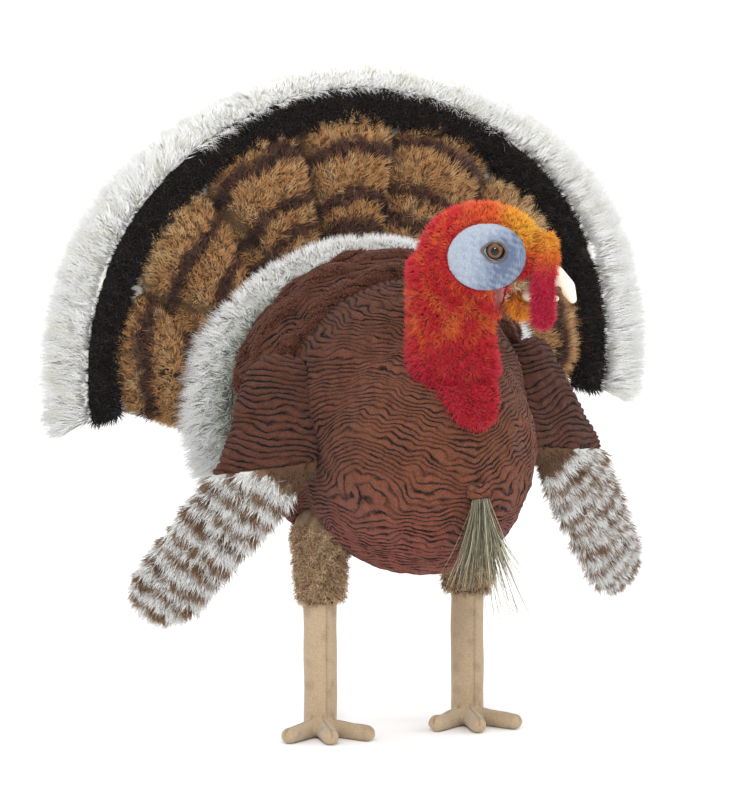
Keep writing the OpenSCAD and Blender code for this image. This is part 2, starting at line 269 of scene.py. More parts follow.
def joined(name: str, *pieces: bpy.types.Object) -> bpy.types.Object:
    """Join meshes into the first one and return it under a new name."""
    take(pieces[0])
    for piece in pieces[1:]:
        piece.select_set(True)
    bpy.ops.object.join()
    pieces[0].name = pieces[0].data.name = name
    return pieces[0]


def ball(name: str, centre: tuple[float, float, float], semi: tuple[float, float, float],
         around: int = 96, turn: float = 0.0) -> bpy.types.Object:
    """Add an ellipsoid.

    Args:
        name: the object's name.
        centre: its middle in the bird's mm.
        semi: its half sizes in mm.
        around: segments round it.
        turn: degrees that it is turned about the upright.

    Returns:
        The new object.
    """
    deselect()
    bpy.ops.mesh.primitive_uv_sphere_add(segments=around, ring_count=around // 2, radius=1, location=at(centre),
                                         rotation=(0, 0, math.radians(turn)), scale=[s * MM for s in semi])
    return named(name)


def bisect(piece: bpy.types.Object, point: tuple[float, float, float], normal: tuple[float, float, float],
           fill: bool = True) -> None:
    """Cut a mesh by a plane and drop the side that the normal points to."""
    take(piece)
    bpy.ops.object.mode_set(mode="EDIT")
    bpy.ops.mesh.select_all(action="SELECT")
    bpy.ops.mesh.bisect(plane_co=at(point), plane_no=normal, use_fill=fill, clear_outer=True)
    bpy.ops.object.mode_set(mode="OBJECT")


def cad_copy(frame: dict, node: str, name: str) -> bpy.types.Object:
    """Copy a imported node's mesh and merge its loose triangles.

    Args:
        node: the node's name.
        name: the new piece's name.

    Returns:
        The copy, free of the frame.
    """
    piece = bpy.data.objects.new(name, frame["nodes"][node].data.copy())
    bpy.context.scene.collection.objects.link(piece)
    piece.data.materials.clear()
    take(piece)
    bpy.ops.object.mode_set(mode="EDIT")
    bpy.ops.mesh.select_all(action="SELECT")
    bpy.ops.mesh.remove_doubles(threshold=1e-5)
    bpy.ops.object.mode_set(mode="OBJECT")
    return piece


# ---- finishes ----


def add_node(tree: bpy.types.NodeTree, kind: str, settings: dict | None = None,
             **links: object) -> bpy.types.Node:
    """Add a shader node with its settings and what feeds its inputs.

    Args:
        tree: the material's node tree.
        kind: the node's type without its ShaderNode prefix.
        settings: the node's own properties.
        **links: input names, with _ for a space, and a socket or a value for each.

    Returns:
        The new node.
    """
    node = tree.nodes.new("ShaderNode" + kind)
    for key, value in (settings or {}).items():
        setattr(node, key, value)
    for key, value in links.items():
        socket = node.inputs[int(key[1:]) if key[0] == "i" and key[1:].isdigit() else key.replace("_", " ")]
        if isinstance(value, bpy.types.NodeSocket):
            tree.links.new(value, socket)
        else:
            socket.default_value = value
    return node


@dataclass(frozen=True)
class Finish:
    """What one kind of surface is made of.

    Attributes:
        name: the material's name.
        colour: hex colour where the surface carries no tint of its own.
        tinted: whether the colour comes from the piece's tint.
        rough: roughness.
        sheen: weight of the soft glow that a pile gives at its edges.
        mottle: how much the colour varies from place to place.
        mottle_mm: size of that variation.
        relief: height of the fine bump in mm, or 0.
        relief_mm: size of the fine bump.
        woven: whether the bump is crossed threads and not a nap.
        coat: weight of a clear hard coat.
        folded: whether the piece's ridge count drives narrow grooves, which wander and break up, with painted shade in
            the grooves and painted light on the ridges.
    """

    name: str
    colour: str = "#FFFFFF"
    tinted: bool = False
    rough: float = 0.9
    sheen: float = 0.3
    mottle: float = 0.25
    mottle_mm: float = 1.2
    relief: float = 0.0
    relief_mm: float = 0.5
    woven: bool = False
    coat: float = 0.0
    folded: bool = False

    def grooves(self, tree: bpy.types.NodeTree, place: bpy.types.NodeSocket) -> bpy.types.NodeSocket:
        """Return 1 in the grooves between the ridges and 0 on top of them.

        Args:
            tree: the material's node tree.
            place: the surface's coordinates.

        Returns:
            The socket that carries the grooves.
        """
        lay = add_node(tree, "Attribute", {"attribute_name": FOLDS}).outputs["Fac"]
        drift = add_node(tree, "TexNoise", Vector=place, Scale=1 / (9 * MM), Detail=3.0).outputs["Fac"]
        count = add_node(tree, "Math", {"operation": "MULTIPLY_ADD"}, i0=drift, i1=1.5, i2=lay).outputs["Value"]
        turn = add_node(tree, "Math", {"operation": "MULTIPLY"}, i0=count, i1=math.pi).outputs["Value"]
        wave = add_node(tree, "Math", {"operation": "SINE"}, i0=turn).outputs["Value"]
        ridge = add_node(tree, "Math", {"operation": "ABSOLUTE"}, i0=wave).outputs["Value"]
        narrow = add_node(tree, "MapRange", {"interpolation_type": "SMOOTHSTEP"}, Value=ridge, From_Min=0.1,
                          From_Max=0.72, To_Min=1.0, To_Max=0.0).outputs["Result"]
        patchy = add_node(tree, "TexNoise", Vector=place, Scale=1 / (13 * MM), Detail=2.0).outputs["Fac"]
        depth = add_node(tree, "MapRange", Value=patchy, From_Min=0.36, From_Max=0.58, To_Min=0.3,
                         To_Max=1.0).outputs["Result"]
        return add_node(tree, "Math", {"operation": "MULTIPLY"}, i0=narrow, i1=depth).outputs["Value"]

    def material(self) -> bpy.types.Material:
        """Return the material, made on its first use."""
        found = bpy.data.materials.get(self.name)
        if found:
            return found
        made = bpy.data.materials.new(self.name)
        made.use_nodes = True
        tree = made.node_tree
        shader = tree.nodes["Principled BSDF"]
        shader.inputs["Roughness"].default_value = self.rough
        shader.inputs["Sheen Weight"].default_value = self.sheen
        shader.inputs["Sheen Roughness"].default_value = 0.5
        shader.inputs["Coat Weight"].default_value = self.coat
        shader.inputs["Coat Roughness"].default_value = 0.04
        shader.inputs["Specular IOR Level"].default_value = 0.2
        place = add_node(tree, "TexCoord").outputs["Object"]
        speckle = add_node(tree, "TexNoise", Vector=place, Scale=1 / (self.mottle_mm * MM), Detail=3.0)
        spread = add_node(tree, "MapRange", Value=speckle.outputs["Fac"], From_Min=0.3, From_Max=0.7,
                          To_Min=1 - self.mottle, To_Max=1 + self.mottle * 0.6)
        base = (add_node(tree, "Attribute", {"attribute_name": TINT}).outputs["Color"] if self.tinted
                else (*linear(self.colour), 1.0))
        dyed = add_node(tree, "VectorMath", {"operation": "SCALE"}, Scale=spread.outputs["Result"])
        if isinstance(base, bpy.types.NodeSocket):
            tree.links.new(base, dyed.inputs[0])
        else:
            dyed.inputs[0].default_value = base[:3]
        colour = dyed.outputs["Vector"]
        groove = self.grooves(tree, place) if self.folded else None
        if groove:
            # painted light on the ridges and painted shade in the grooves, scaled into the base colour
            painted_ridge_light_and_groove_shade = add_node(tree, "MapRange", Value=groove, To_Min=1.25, To_Max=0.08).outputs["Result"]
            shaded = add_node(tree, "VectorMath", {"operation": "SCALE"}, Scale=painted_ridge_light_and_groove_shade)
            tree.links.new(colour, shaded.inputs[0])
            colour = shaded.outputs["Vector"]
        tree.links.new(colour, shader.inputs["Base Color"])
        if self.relief:
            if self.woven:
                threads = [add_node(tree, "TexWave", {"bands_direction": way}, Vector=place,
                                    Scale=1 / (self.relief_mm * MM) / 20, Distortion=0.6).outputs["Fac"]
                           for way in ("X", "Z")]
                height = add_node(tree, "Math", {"operation": "MAXIMUM"}, i0=threads[0], i1=threads[1])
                height = height.outputs["Value"]
            else:
                height = add_node(tree, "TexNoise", Vector=place, Scale=1 / (self.relief_mm * MM),
                                  Detail=2.0).outputs["Fac"]
            if groove:
                height = add_node(tree, "Math", {"operation": "MULTIPLY_ADD"}, i0=groove, i1=-2.6,
                                  i2=height).outputs["Value"]
            bump = add_node(tree, "Bump", Height=height, Distance=self.relief * MM, Strength=1.0)
            tree.links.new(bump.outputs["Normal"], shader.inputs["Normal"])
        return made


# long polyester fur: each fibre takes its dye, with painted shade at the root and painted light at the tip, so the tint
# does the work and the noise only breaks it up
FUR = Finish("fur_polyester", tinted=True, rough=0.8, sheen=0.1, mottle=0.18, mottle_mm=1.0)
# crinkled short-pile plush: painted shade in the folds and painted light on the soft ridges
CRINKLE = Finish("crinkled_plush", tinted=True, rough=0.95, sheen=0.06, mottle=0.5, mottle_mm=0.8,
                 relief=0.6, relief_mm=0.7, folded=True)
# sheared velour of the feet and face: a fine even nap
VELOUR = Finish("velour", tinted=True, rough=0.95, sheen=0.25, mottle=0.22, mottle_mm=0.8,
                relief=0.25, relief_mm=0.6)
# beak velour: paler and shorter than the feet's
BEAK = Finish("beak_velour", tinted=True, rough=0.85, sheen=0.2, mottle=0.1, mottle_mm=0.7,
              relief=0.12, relief_mm=0.5)
FELT = Finish("mouth_felt", "#7E2A2E", rough=0.95, mottle=0.2, mottle_mm=1.5, relief=0.2, relief_mm=0.8)
LINING = Finish("lining_cotton", "#3B2A24", rough=0.9, sheen=0.1, mottle=0.12, mottle_mm=3.0,
                relief=0.2, relief_mm=0.9, woven=True)
STUFFING = Finish("polyester_stuffing", "#F1EEE4", rough=0.95, sheen=0.2, mottle=0.15, mottle_mm=4.0,
                  relief=0.8, relief_mm=2.5)
# dark brown stuffing: painted shade for the gaps and the mouth where the stuffing shows
SHADE_DARK_STUFFING = Finish("shade_dark_stuffing", "#4E2C23", rough=0.95, sheen=0.2, mottle=0.15, mottle_mm=4.0,
                  relief=0.8, relief_mm=2.5)
WASHER = Finish("moulded_nylon", "#E4E1D8", rough=0.45, sheen=0.0, mottle=0.04, mottle_mm=2.0)
# blown acrylic eye: the tint is painted behind a hard clear front that carries the highlight
EYE = Finish("eye_acrylic", tinted=True, rough=0.08, sheen=0.0, mottle=0.05, mottle_mm=0.6, coat=0.35)
RIM = Finish("rim_plastic", "#060505", rough=0.5, sheen=0.0, mottle=0.1, mottle_mm=1.0)
TAPE = Finish("hem_tape", "#4A2C23", rough=0.9, sheen=0.2, mottle=0.15, mottle_mm=1.5,
              relief=0.25, relief_mm=0.9, woven=True)


# ---- fibres ----


class Strand(Enum):
    """How many joints a fibre has, from its root to its tip."""

    FUR = 1
    LOCK = 3
    HAIR = 9


@dataclass(frozen=True)
class Pile:
    """One kind of pile.

    Attributes:
        density: fibres on a square millimetre.
        length: mm from root to tip.
        width: mm across the root.
        strand: how many joints a fibre has.
        stray: how far each fibre leaves the nap's direction.
        tuft: mm across a tuft whose tips lean together, or 0.
        gather: share by which a tuft's tips close up.
        tuft_stray: how far each tuft leaves the nap's direction.
        curl: radius in mm of a fibre's curl.
        turns: how often it curls.
        fall: how far the tip sinks, as a share of the length.
        root: brightness of the colour at the root.
        tip: brightness at the tip.
    """

    density: float
    length: float
    width: float = 0.7
    strand: Strand = Strand.FUR
    stray: float = 0.25
    tuft: float = 4.0
    gather: float = 0.35
    tuft_stray: float = 0.3
    curl: float = 0.0
    turns: float = 1.0
    fall: float = 0.15
    # root: brightness of the colour at the root, a painted shade where the pile shades itself.
    root: float = 0.4
    # tip: brightness at the tip, painted light on the fibre's end.
    tip: float = 1.1


def fibre_mesh(name: str, line: np.ndarray, across: np.ndarray, colours: np.ndarray) -> bpy.types.Object:
    """Build closed three-sided fibres, each a chain of rings that ends in a point.

    Args:
        name: the object's name.
        line: points along each fibre in mm, fibres by joints plus one by 3.
        across: radius of each ring in mm, fibres by joints.
        colours: linear RGB at each of those points.

    Returns:
        The mesh object, with its tint.
    """
    count, rings = across.shape
    way = unit(line[:, 1:] - line[:, :-1])
    helper = np.where(np.abs(way[..., 2:3]) > 0.9, [1.0, 0, 0], [0, 0, 1.0])
    side = unit(np.cross(helper, way))
    other = np.cross(way, side)
    turn = np.arange(3) * 2 * math.pi / 3
    ring = side[:, :, None] * np.cos(turn)[:, None] + other[:, :, None] * np.sin(turn)[:, None]
    body = line[:, :-1, None] + ring * across[:, :, None, None]
    corners = np.concatenate([body.reshape(count, rings * 3, 3), line[:, -1:]], 1)
    dye = np.concatenate([np.repeat(colours[:, :-1], 3, 1), colours[:, -1:]], 1)
    loops: list[int] = [2, 1, 0]
    sizes = [3]
    for k in range(rings - 1):
        for i in range(3):
            j = (i + 1) % 3
            loops += [3 * k + i, 3 * k + j, 3 * k + 3 + j, 3 * k + 3 + i]
            sizes.append(4)
    for i in range(3):
        loops += [3 * rings - 3 + i, 3 * rings - 3 + (i + 1) % 3, 3 * rings]
        sizes.append(3)
    each = 3 * rings + 1
    index = (np.arange(count)[:, None] * each + np.array(loops)).ravel()
    starts = (np.arange(count)[:, None] * len(loops) + np.cumsum([0] + sizes[:-1])).ravel()
    mesh = bpy.data.meshes.new(name)
    mesh.vertices.add(count * each)
    mesh.vertices.foreach_set("co", placed(corners.reshape(-1, 3)).ravel())
    mesh.loops.add(len(index))
    mesh.loops.foreach_set("vertex_index", index.astype(np.int32))
    mesh.polygons.add(len(starts))
    mesh.polygons.foreach_set("loop_start", starts.astype(np.int32))
    mesh.polygons.foreach_set("use_smooth", np.ones(len(starts), bool))
    mesh.update(calc_edges=True)
    piece = bpy.data.objects.new(name, mesh)
    bpy.context.scene.collection.objects.link(piece)
    paint(piece, dye.reshape(-1, 3))
    return piece


def roots_on(piece: bpy.types.Object, density: float, where: Field | None,
             rng: np.random.Generator) -> tuple[np.ndarray, np.ndarray]:
    """Scatter fibre roots over a mesh.

    Args:
        piece: the skin.
        density: roots on a square millimetre.
        where: tells from centre and normal of a face, six columns, whether fibres grow there.
        rng: the random source.

    Returns:
        Root points in mm and the skin's normals there.
    """
    mesh = piece.data
    mesh.calc_loop_triangles()
    flat = np.empty(len(mesh.loop_triangles) * 3, np.int32)
    mesh.loop_triangles.foreach_get("vertices", flat)
    spots, leans = points_of(piece), normals_of(piece)
    faces = flat.reshape(-1, 3)
    corners = spots[faces]
    cross = np.cross(corners[:, 1] - corners[:, 0], corners[:, 2] - corners[:, 0])
    area = np.linalg.norm(cross, axis=1) / 2
    if where is not None:
        area = area * np.clip(where(np.hstack([corners.mean(1), unit(cross)])), 0, 1)
    count = int(area.sum() * density * (1.0))
    chosen = rng.choice(len(faces), count, p=area / area.sum())
    a, b = rng.random(count), rng.random(count)
    over = a + b > 1
    a[over], b[over] = 1 - a[over], 1 - b[over]
    weights = np.stack([1 - a - b, a, b], 1)[..., None]
    return (corners[chosen] * weights).sum(1), unit((leans[faces[chosen]] * weights).sum(1))


def grow(piece: bpy.types.Object, pile: Pile, comb: Callable[[np.ndarray, np.ndarray], np.ndarray],
         colour: Field, seed: int, where: Field | None = None, reach: Field | None = None,
         apart: str = "") -> bpy.types.Object:
    """Grow a pile on a skin and join it to the skin.

    Args:
        piece: the skin.
        pile: the kind of pile.
        comb: gives the nap's direction from roots and normals.
        colour: gives linear RGB at the roots.
        seed: picks the scatter.
        where: which faces bear fibres.
        reach: share of the full length at each root.
        apart: a name for the pile when it stays a piece of its own.

    Returns:
        The skin with its pile, or the pile alone.
    """
    rng = np.random.default_rng(seed)
    if not apart:
        finish_modifier(piece, "DECIMATE", ratio=HIDDEN_SKIN)
    base, normal = roots_on(piece, pile.density, where, rng)
    way = unit(comb(base, normal))
    closing = np.zeros_like(base)
    if pile.tuft:
        cell = np.floor(base / pile.tuft + rng.random(3)).astype(np.int64)
        mark = (cell @ np.array([73856093, 19349663, 83492791])) % 4099
        way = way + rng.normal(size=(4099, 3))[mark] * pile.tuft_stray
        order = np.argsort(mark, kind="stable")
        edges = np.flatnonzero(np.diff(mark[order], prepend=-1))
        sums = np.add.reduceat(base[order], edges, axis=0)
        sizes = np.diff(np.append(edges, len(order)))
        middle = np.empty_like(base)
        middle[order] = np.repeat(sums / sizes[:, None], sizes, axis=0)
        closing = (middle - base) * pile.gather
        closing *= np.linalg.norm(closing, axis=1, keepdims=True) < pile.tuft
    way = unit(way + rng.normal(size=base.shape) * pile.stray)
    way = np.where((way * normal).sum(1, keepdims=True) < 0.08,
                   unit(way + normal * (0.12 - (way * normal).sum(1, keepdims=True))), way)
    length = pile.length * rng.uniform(0.75, 1.12, len(base))
    if reach is not None:
        length = length * reach(base)
    joints = pile.strand.value
    share = np.linspace(0, 1, joints + 1)
    along = length[:, None, None] * share[:, None]
    line = base[:, None] - normal[:, None] * 0.4 + way[:, None] * along
    line = line + closing[:, None] * (share ** 1.5)[:, None]
    line[..., 2] -= along[..., 0] * share * pile.fall
    if pile.curl:
        side = unit(np.cross(way, normal + 0.01))
        other = np.cross(way, side)
        turn = rng.uniform(0, 2 * math.pi, len(base))[:, None] + share * 2 * math.pi * pile.turns
        swing = pile.curl * np.minimum(share * 3, 1)
        line = line + side[:, None] * (np.cos(turn) * swing)[..., None]
        line = line + other[:, None] * (np.sin(turn) * swing)[..., None]
    across = pile.width / 2 * (1 - share[:-1]) ** 0.6 * rng.uniform(0.8, 1.2, (len(base), 1))
    # painted shade at each fibre's root, rising to painted light at its tip
    painted_root_shade_tip_light = (pile.root + (pile.tip - pile.root) * share ** 0.8)[None, :, None]
    dye = colour(base)[:, None] * painted_root_shade_tip_light * rng.uniform(0.85, 1.12, (len(base), 1, 1))
    if apart:
        return fibre_mesh(apart, line, across, dye)
    name = piece.name
    # the skin under the fibres is darkened: painted shade beneath the pile
    paint(piece, colour(points_of(piece)) * (pile.root * 0.8))
    return joined(name, piece, fibre_mesh(name + "_pile", line, across, dye))


def ride_as(piece: bpy.types.Object, finish: Finish, body: str | tuple[str, str, tuple, tuple],
            slot: str, *nodes: str, fill: float | None = None) -> bpy.types.Object:
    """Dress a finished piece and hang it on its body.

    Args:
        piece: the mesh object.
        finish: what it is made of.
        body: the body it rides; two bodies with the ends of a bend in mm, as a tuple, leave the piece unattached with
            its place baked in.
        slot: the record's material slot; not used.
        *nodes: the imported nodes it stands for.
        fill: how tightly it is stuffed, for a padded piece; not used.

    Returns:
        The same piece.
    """
    piece.data.materials.clear()
    piece.data.materials.append(finish.material())
    piece.data.polygons.foreach_set("material_index", np.zeros(len(piece.data.polygons), np.int32))
    if isinstance(body, str):
        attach(piece, body)
    else:
        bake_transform(piece)
    if nodes:
        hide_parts(*nodes)
    LOG.info("%s: %d faces", piece.name, len(piece.data.polygons))
    return piece


def crinkle(piece: bpy.types.Object, phase: Field, height: float, colour: Field, seed: int,
            wander: float = 0.45) -> None:
    """Raise the wavy ridges of crinkled plush and store the ridge count that paints shade into their valleys.

    Args:
        piece: an even, fine mesh.
        phase: counts the ridges along the skin.
        height: mm from valley to ridge.
        colour: gives linear RGB on the ridges.
        seed: picks the wander.
        wander: how far the ridges stray, in ridges.
    """
    points, normal = points_of(piece), normals_of(piece)
    count = phase(points) + wander * waves(points, 34, seed) + wander * 0.5 * waves(points, 14, seed + 1)
    layer = piece.data.attributes.new(FOLDS, "FLOAT", "POINT")
    layer.data.foreach_set("value", count)
    paint(piece, colour(points) * (1 + 0.16 * waves(points, 8, seed + 4))[:, None])
    ridge = np.abs(np.sin(math.pi * (count + DRIFT_MEAN))) ** 0.7
    depth = np.clip(0.7 + 0.4 * waves(points, 12, seed + 2), 0.2, 1.1)
    swell = waves(points, 30, seed + 3)
    points += normal * (height * (ridge - 0.35) * depth + swell * height * 0.45)[:, None]
    move_points(piece, points)


# ---- studio ----


@dataclass
class Studio:
    """Pale floor, soft light and the camera."""

    distance: float = 6.0  # m from the camera to the bird
    tall: float = 0.52  # m that the picture's height shows at the bird
    azimuth: float = -25.0
    elevation: float = 8.0
    centre: tuple[float, float, float] = (-16.5, 0.0, 205.8)

    def build(self) -> None:
        """Make the camera, the lights and the floor."""
        scene = bpy.context.scene
        turn, rise = math.radians(self.azimuth), math.radians(self.elevation)
        ahead = Vector((-math.sin(turn) * math.cos(rise), math.cos(turn) * math.cos(rise), -math.sin(rise)))
        bpy.ops.object.camera_add(location=at(self.centre) - ahead * self.distance)
        camera = bpy.context.active_object
        camera.rotation_euler = ahead.to_track_quat("-Z", "Y").to_euler()
        camera.data.sensor_fit = "VERTICAL"
        camera.data.sensor_height = 36.0
        camera.data.lens = 36.0 * self.distance / self.tall
        scene.camera = camera
        world = bpy.data.worlds.new("soft_room")
        world.use_nodes = True
        world.node_tree.nodes["Background"].inputs["Color"].default_value = (1, 1, 1, 1)
        world.node_tree.nodes["Background"].inputs["Strength"].default_value = 1.12
        scene.world = world
        scene.view_settings.view_transform = "Standard"
        for name, place, size, power in (
            ("key", (-0.9, -1.6, 1.5), 0.4, 19.0),
            ("side", (1.5, -1.0, 1.0), 1.0, 5.0),
            ("top", (0.0, 0.1, 1.9), 1.2, 8.0),
        ):
            bpy.ops.object.light_add(type="AREA", location=place)
            lamp = bpy.context.active_object
            lamp.name = name
            lamp.data.size, lamp.data.energy = size, power
            lamp.rotation_euler = (Vector((0, 0, 0.2)) - Vector(place)).to_track_quat("-Z", "Y").to_euler()
        bpy.ops.mesh.primitive_plane_add(size=12)
        floor = named("floor")
        floor.data.materials.append(
            Finish("paper_floor", "#FFFFFF", rough=0.9, sheen=0.0, mottle=0.01, mottle_mm=40.0).material())
        floor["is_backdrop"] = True


# ---- body ----


@dataclass
class Body:
    """Chest, hump, mantle lobes, rump fringe and the hand opening."""

    frame: dict
    chest: tuple[float, float, float] = (0.0, -22.0, 178.0)
    chest_semi: tuple[float, float, float] = (74.0, 99.0, 83.0)
    hump: tuple[float, float, float] = (0.0, 24.0, 198.0)
    hump_semi: tuple[float, float, float] = (100.0, 45.0, 94.0)
    yoke: tuple[float, float, float] = (0.0, -4.0, 198.0)
    yoke_semi: tuple[float, float, float] = (84.0, 70.0, 86.0)
    rump_y: float = 69.0
    neck: tuple[float, float, float] = (0.0, -80.0, 238.0)
    neck_room: float = 29.6
    hip: tuple[float, float, float] = (53.0, 6.0, 122.0)
    hip_room: float = 18.4
    shoulder: tuple[float, float, float] = (90.0, -10.0, 226.0)
    shoulder_room: tuple[float, float, float] = (23.0, 13.0, 16.0)
    shoulder_turn: float = 22.0
    way_in: tuple[float, float] = (28.0, 32.6)  # where the hand way is, and its radius with its lining
    ridge: float = 3.7  # mm between two ridges
    waist: tuple[float, float, float] = (0.0, -14.0, 178.0)
    lobes: tuple[tuple[float, float, float, float], ...] = (
        (-2.0, 17.0, 234.0, 4.6), (14.0, 33.0, 224.0, 5.6), (30.0, 50.0, 214.0, 4.6))

    @staticmethod
    def dye(points: np.ndarray) -> np.ndarray:
        """Return the plush's brown: dark on the back, redder down the belly."""
        dark, chest, belly = shades("#4B2C21", "#603827", "#6A3A30")
        low = ramp(-points[:, 2], -190, -105)
        front = ramp(-points[:, 1], 0, 90)
        return mixed(mixed(dark[None], chest[None], front), belly[None], low * 0.9)

    def ridges(self, points: np.ndarray) -> np.ndarray:
        """Count ridges that fall to the chest's middle seam, lie level on the belly and close over the back."""
        flat = np.hypot(points[:, 0], 0.8 * (points[:, 1] - self.waist[1]))
        level = 84 * np.arctan2(points[:, 2] - self.waist[2], flat)
        front = ramp(-points[:, 1], 20, 75) * ramp(points[:, 2], 140, 175)
        return (level - np.where(points[:, 0] > 0, 0.6, 0.4) * np.abs(points[:, 0]) * front) / self.ridge

    def skin(self) -> bpy.types.Object:
        """Make the crinkled skin of chest and hump.

        Returns:
            The skin.
        """
        chest = ball("chest", self.chest, self.chest_semi)
        hump = ball("hump", self.hump, self.hump_semi)
        skin = joined("body_plush", chest, hump, ball("yoke", self.yoke, self.yoke_semi))
        remesh(skin, 2.4, smooth=12)
        bisect(skin, (0, self.rump_y, 190), (0, 1, 0))
        deselect()
        bpy.ops.mesh.primitive_cylinder_add(vertices=64, radius=self.way_in[1] * MM, depth=0.2,
                                            location=at((0, self.way_in[0], 62)))
        cut_from(skin, named("way"))
        rooms = [(self.neck, (self.neck_room,) * 3, 0.0)]
        for s in (-1, 1):
            rooms.append(((s * self.hip[0], *self.hip[1:]), (self.hip_room,) * 3, 0.0))
            rooms.append(((s * self.shoulder[0], *self.shoulder[1:]), self.shoulder_room, s * self.shoulder_turn))
        for place, semi, turn in rooms:
            cut_from(skin, ball("room", place, semi, 48, turn))
        remesh(skin, 1.3, smooth=5)
        crinkle(skin, self.ridges, 2.2, self.dye, 11, wander=1.1)
        seam = points_of(skin)
        crease = np.exp(-(seam[:, 0] / 1.6) ** 2) * ramp(-seam[:, 1], 55, 80) * ramp(-seam[:, 2], -215, -185)
        seam -= normals_of(skin) * (crease * 1.6)[:, None]
        move_points(skin, seam)
        return ride_as(skin, CRINKLE, "body", "puckered_plush", "body_shell", fill=0.85)

    def mantle(self, index: int) -> bpy.types.Object:
        """Make one of the lobes that lie over the back.

        Args:
            index: 0 for the front lobe, 1 and 2 for the ones behind it.

        Returns:
            The lobe.
        """
        front, rear, low, rise = self.lobes[index]
        name = ("front", "middle", "rear")[index]
        lobe = joined(f"mantle_{name}", *(
            ball("lobe", place, tuple(s + rise for s in semi))
            for place, semi in ((self.hump, self.hump_semi), (self.yoke, self.yoke_semi))))
        remesh(lobe, 2.4, smooth=12)
        for point, normal in (((0, front, 0), (0, -1, 0)), ((0, rear, 0), (0, 1, 0)), ((0, 0, low), (0, 0, -1))):
            bisect(lobe, point, normal, fill=False)
        finish_modifier(lobe, "SOLIDIFY", thickness=8.5 * MM, offset=-1.0)
        remesh(lobe, 1.25, smooth=8)
        points = points_of(lobe)
        points += normals_of(lobe) * (2.4 * np.exp(-((points[:, 1] - front) / 5) ** 2))[:, None]
        out = unit((points - [0, 0, 198]) * [1, 0, 1])
        angle = np.degrees(np.arctan2(np.abs(out[:, 0]), out[:, 2])) + (0, 5, -6)[index]
        roll = np.abs(np.cos(np.radians(180 / 27 * (angle - 6)))) ** 0.6
        points += out * (6.5 * roll - 3.5)[:, None]
        move_points(lobe, points)

        def ridges(points: np.ndarray) -> np.ndarray:
            return (points[:, 1] * 0.9 + points[:, 2] * 0.55) / 4.6

        crinkle(lobe, ridges, 2.6, self.dye, 40 + index * 7, wander=1.0)
        nap = Pile(1.04, 3.4, 0.74, Strand.FUR, stray=0.5, tuft=0, root=0.7, tip=1.5)
        fuzz = grow(lobe, nap, lambda p, n: n + [0, -0.4, -0.3], lambda p: shades("#70422F")[0] + p[:, :1] * 0,
                    50 + index, apart=f"mantle_{name}_fuzz",
                    where=lambda f: np.exp(-((f[:, 1] - front + 1) / 3.5) ** 2))
        ride_as(fuzz, FUR, "body", "puckered_plush")
        return ride_as(lobe, CRINKLE, "body", "puckered_plush", f"mantle_{name}_fold")

    def rump(self) -> bpy.types.Object:
        """Make the white fringe between the back and the tail."""
        skin = cad_copy(self.frame, "rump_fringe", "rump_fur")
        remesh(skin, 2.2, smooth=2)
        pile = Pile(1.13, 17, 0.68, Strand.FUR, stray=0.2, tuft=5, gather=0.35, tuft_stray=0.2, root=0.75, tip=1.1)

        def comb(points: np.ndarray, normal: np.ndarray) -> np.ndarray:
            out = unit((points - [0, 0, 190]) * [1, 0, 1])
            return out + normal * 0.3 + [0, -0.12, 0]

        def dye(points: np.ndarray) -> np.ndarray:
            # grey towards the inner edge: painted shade where the fringe meets the back
            grey, white = shades("#C6CCBE", "#FFFFFC")
            far = np.hypot(points[:, 0] / 1.1, points[:, 2] - 198)
            return mixed(grey[None], white[None], ramp(far + 2 * waves(points, 9, 3), 84, 98))

        fur = grow(skin, pile, comb, dye, 61, where=lambda f: (f[:, 4] < 0.5) * 1.0,
                   reach=lambda p: 1 - 0.5 * ramp(p[:, 2], 235, 285))
        return ride_as(fur, FUR, "body", "white_fur", "rump_fringe")

    def build(self) -> None:
        """Make the whole body."""
        self.skin()
        for index in range(3):
            self.mantle(index)
        self.rump()
        hem = cad_copy(self.frame, "opening_hem", "hem_tape_ring")
        remesh(hem, 1.0, smooth=3)
        ride_as(hem, TAPE, "body", "lining_cloth", "opening_hem")
        tab = cad_copy(self.frame, "beard_tab", "beard_root_tab")
        remesh(tab, 1.0, smooth=2)
        crinkle(tab, self.ridges, 0.6, self.dye, 71)
        ride_as(tab, CRINKLE, "body", "puckered_plush", "beard_tab")


# ---- tail ----


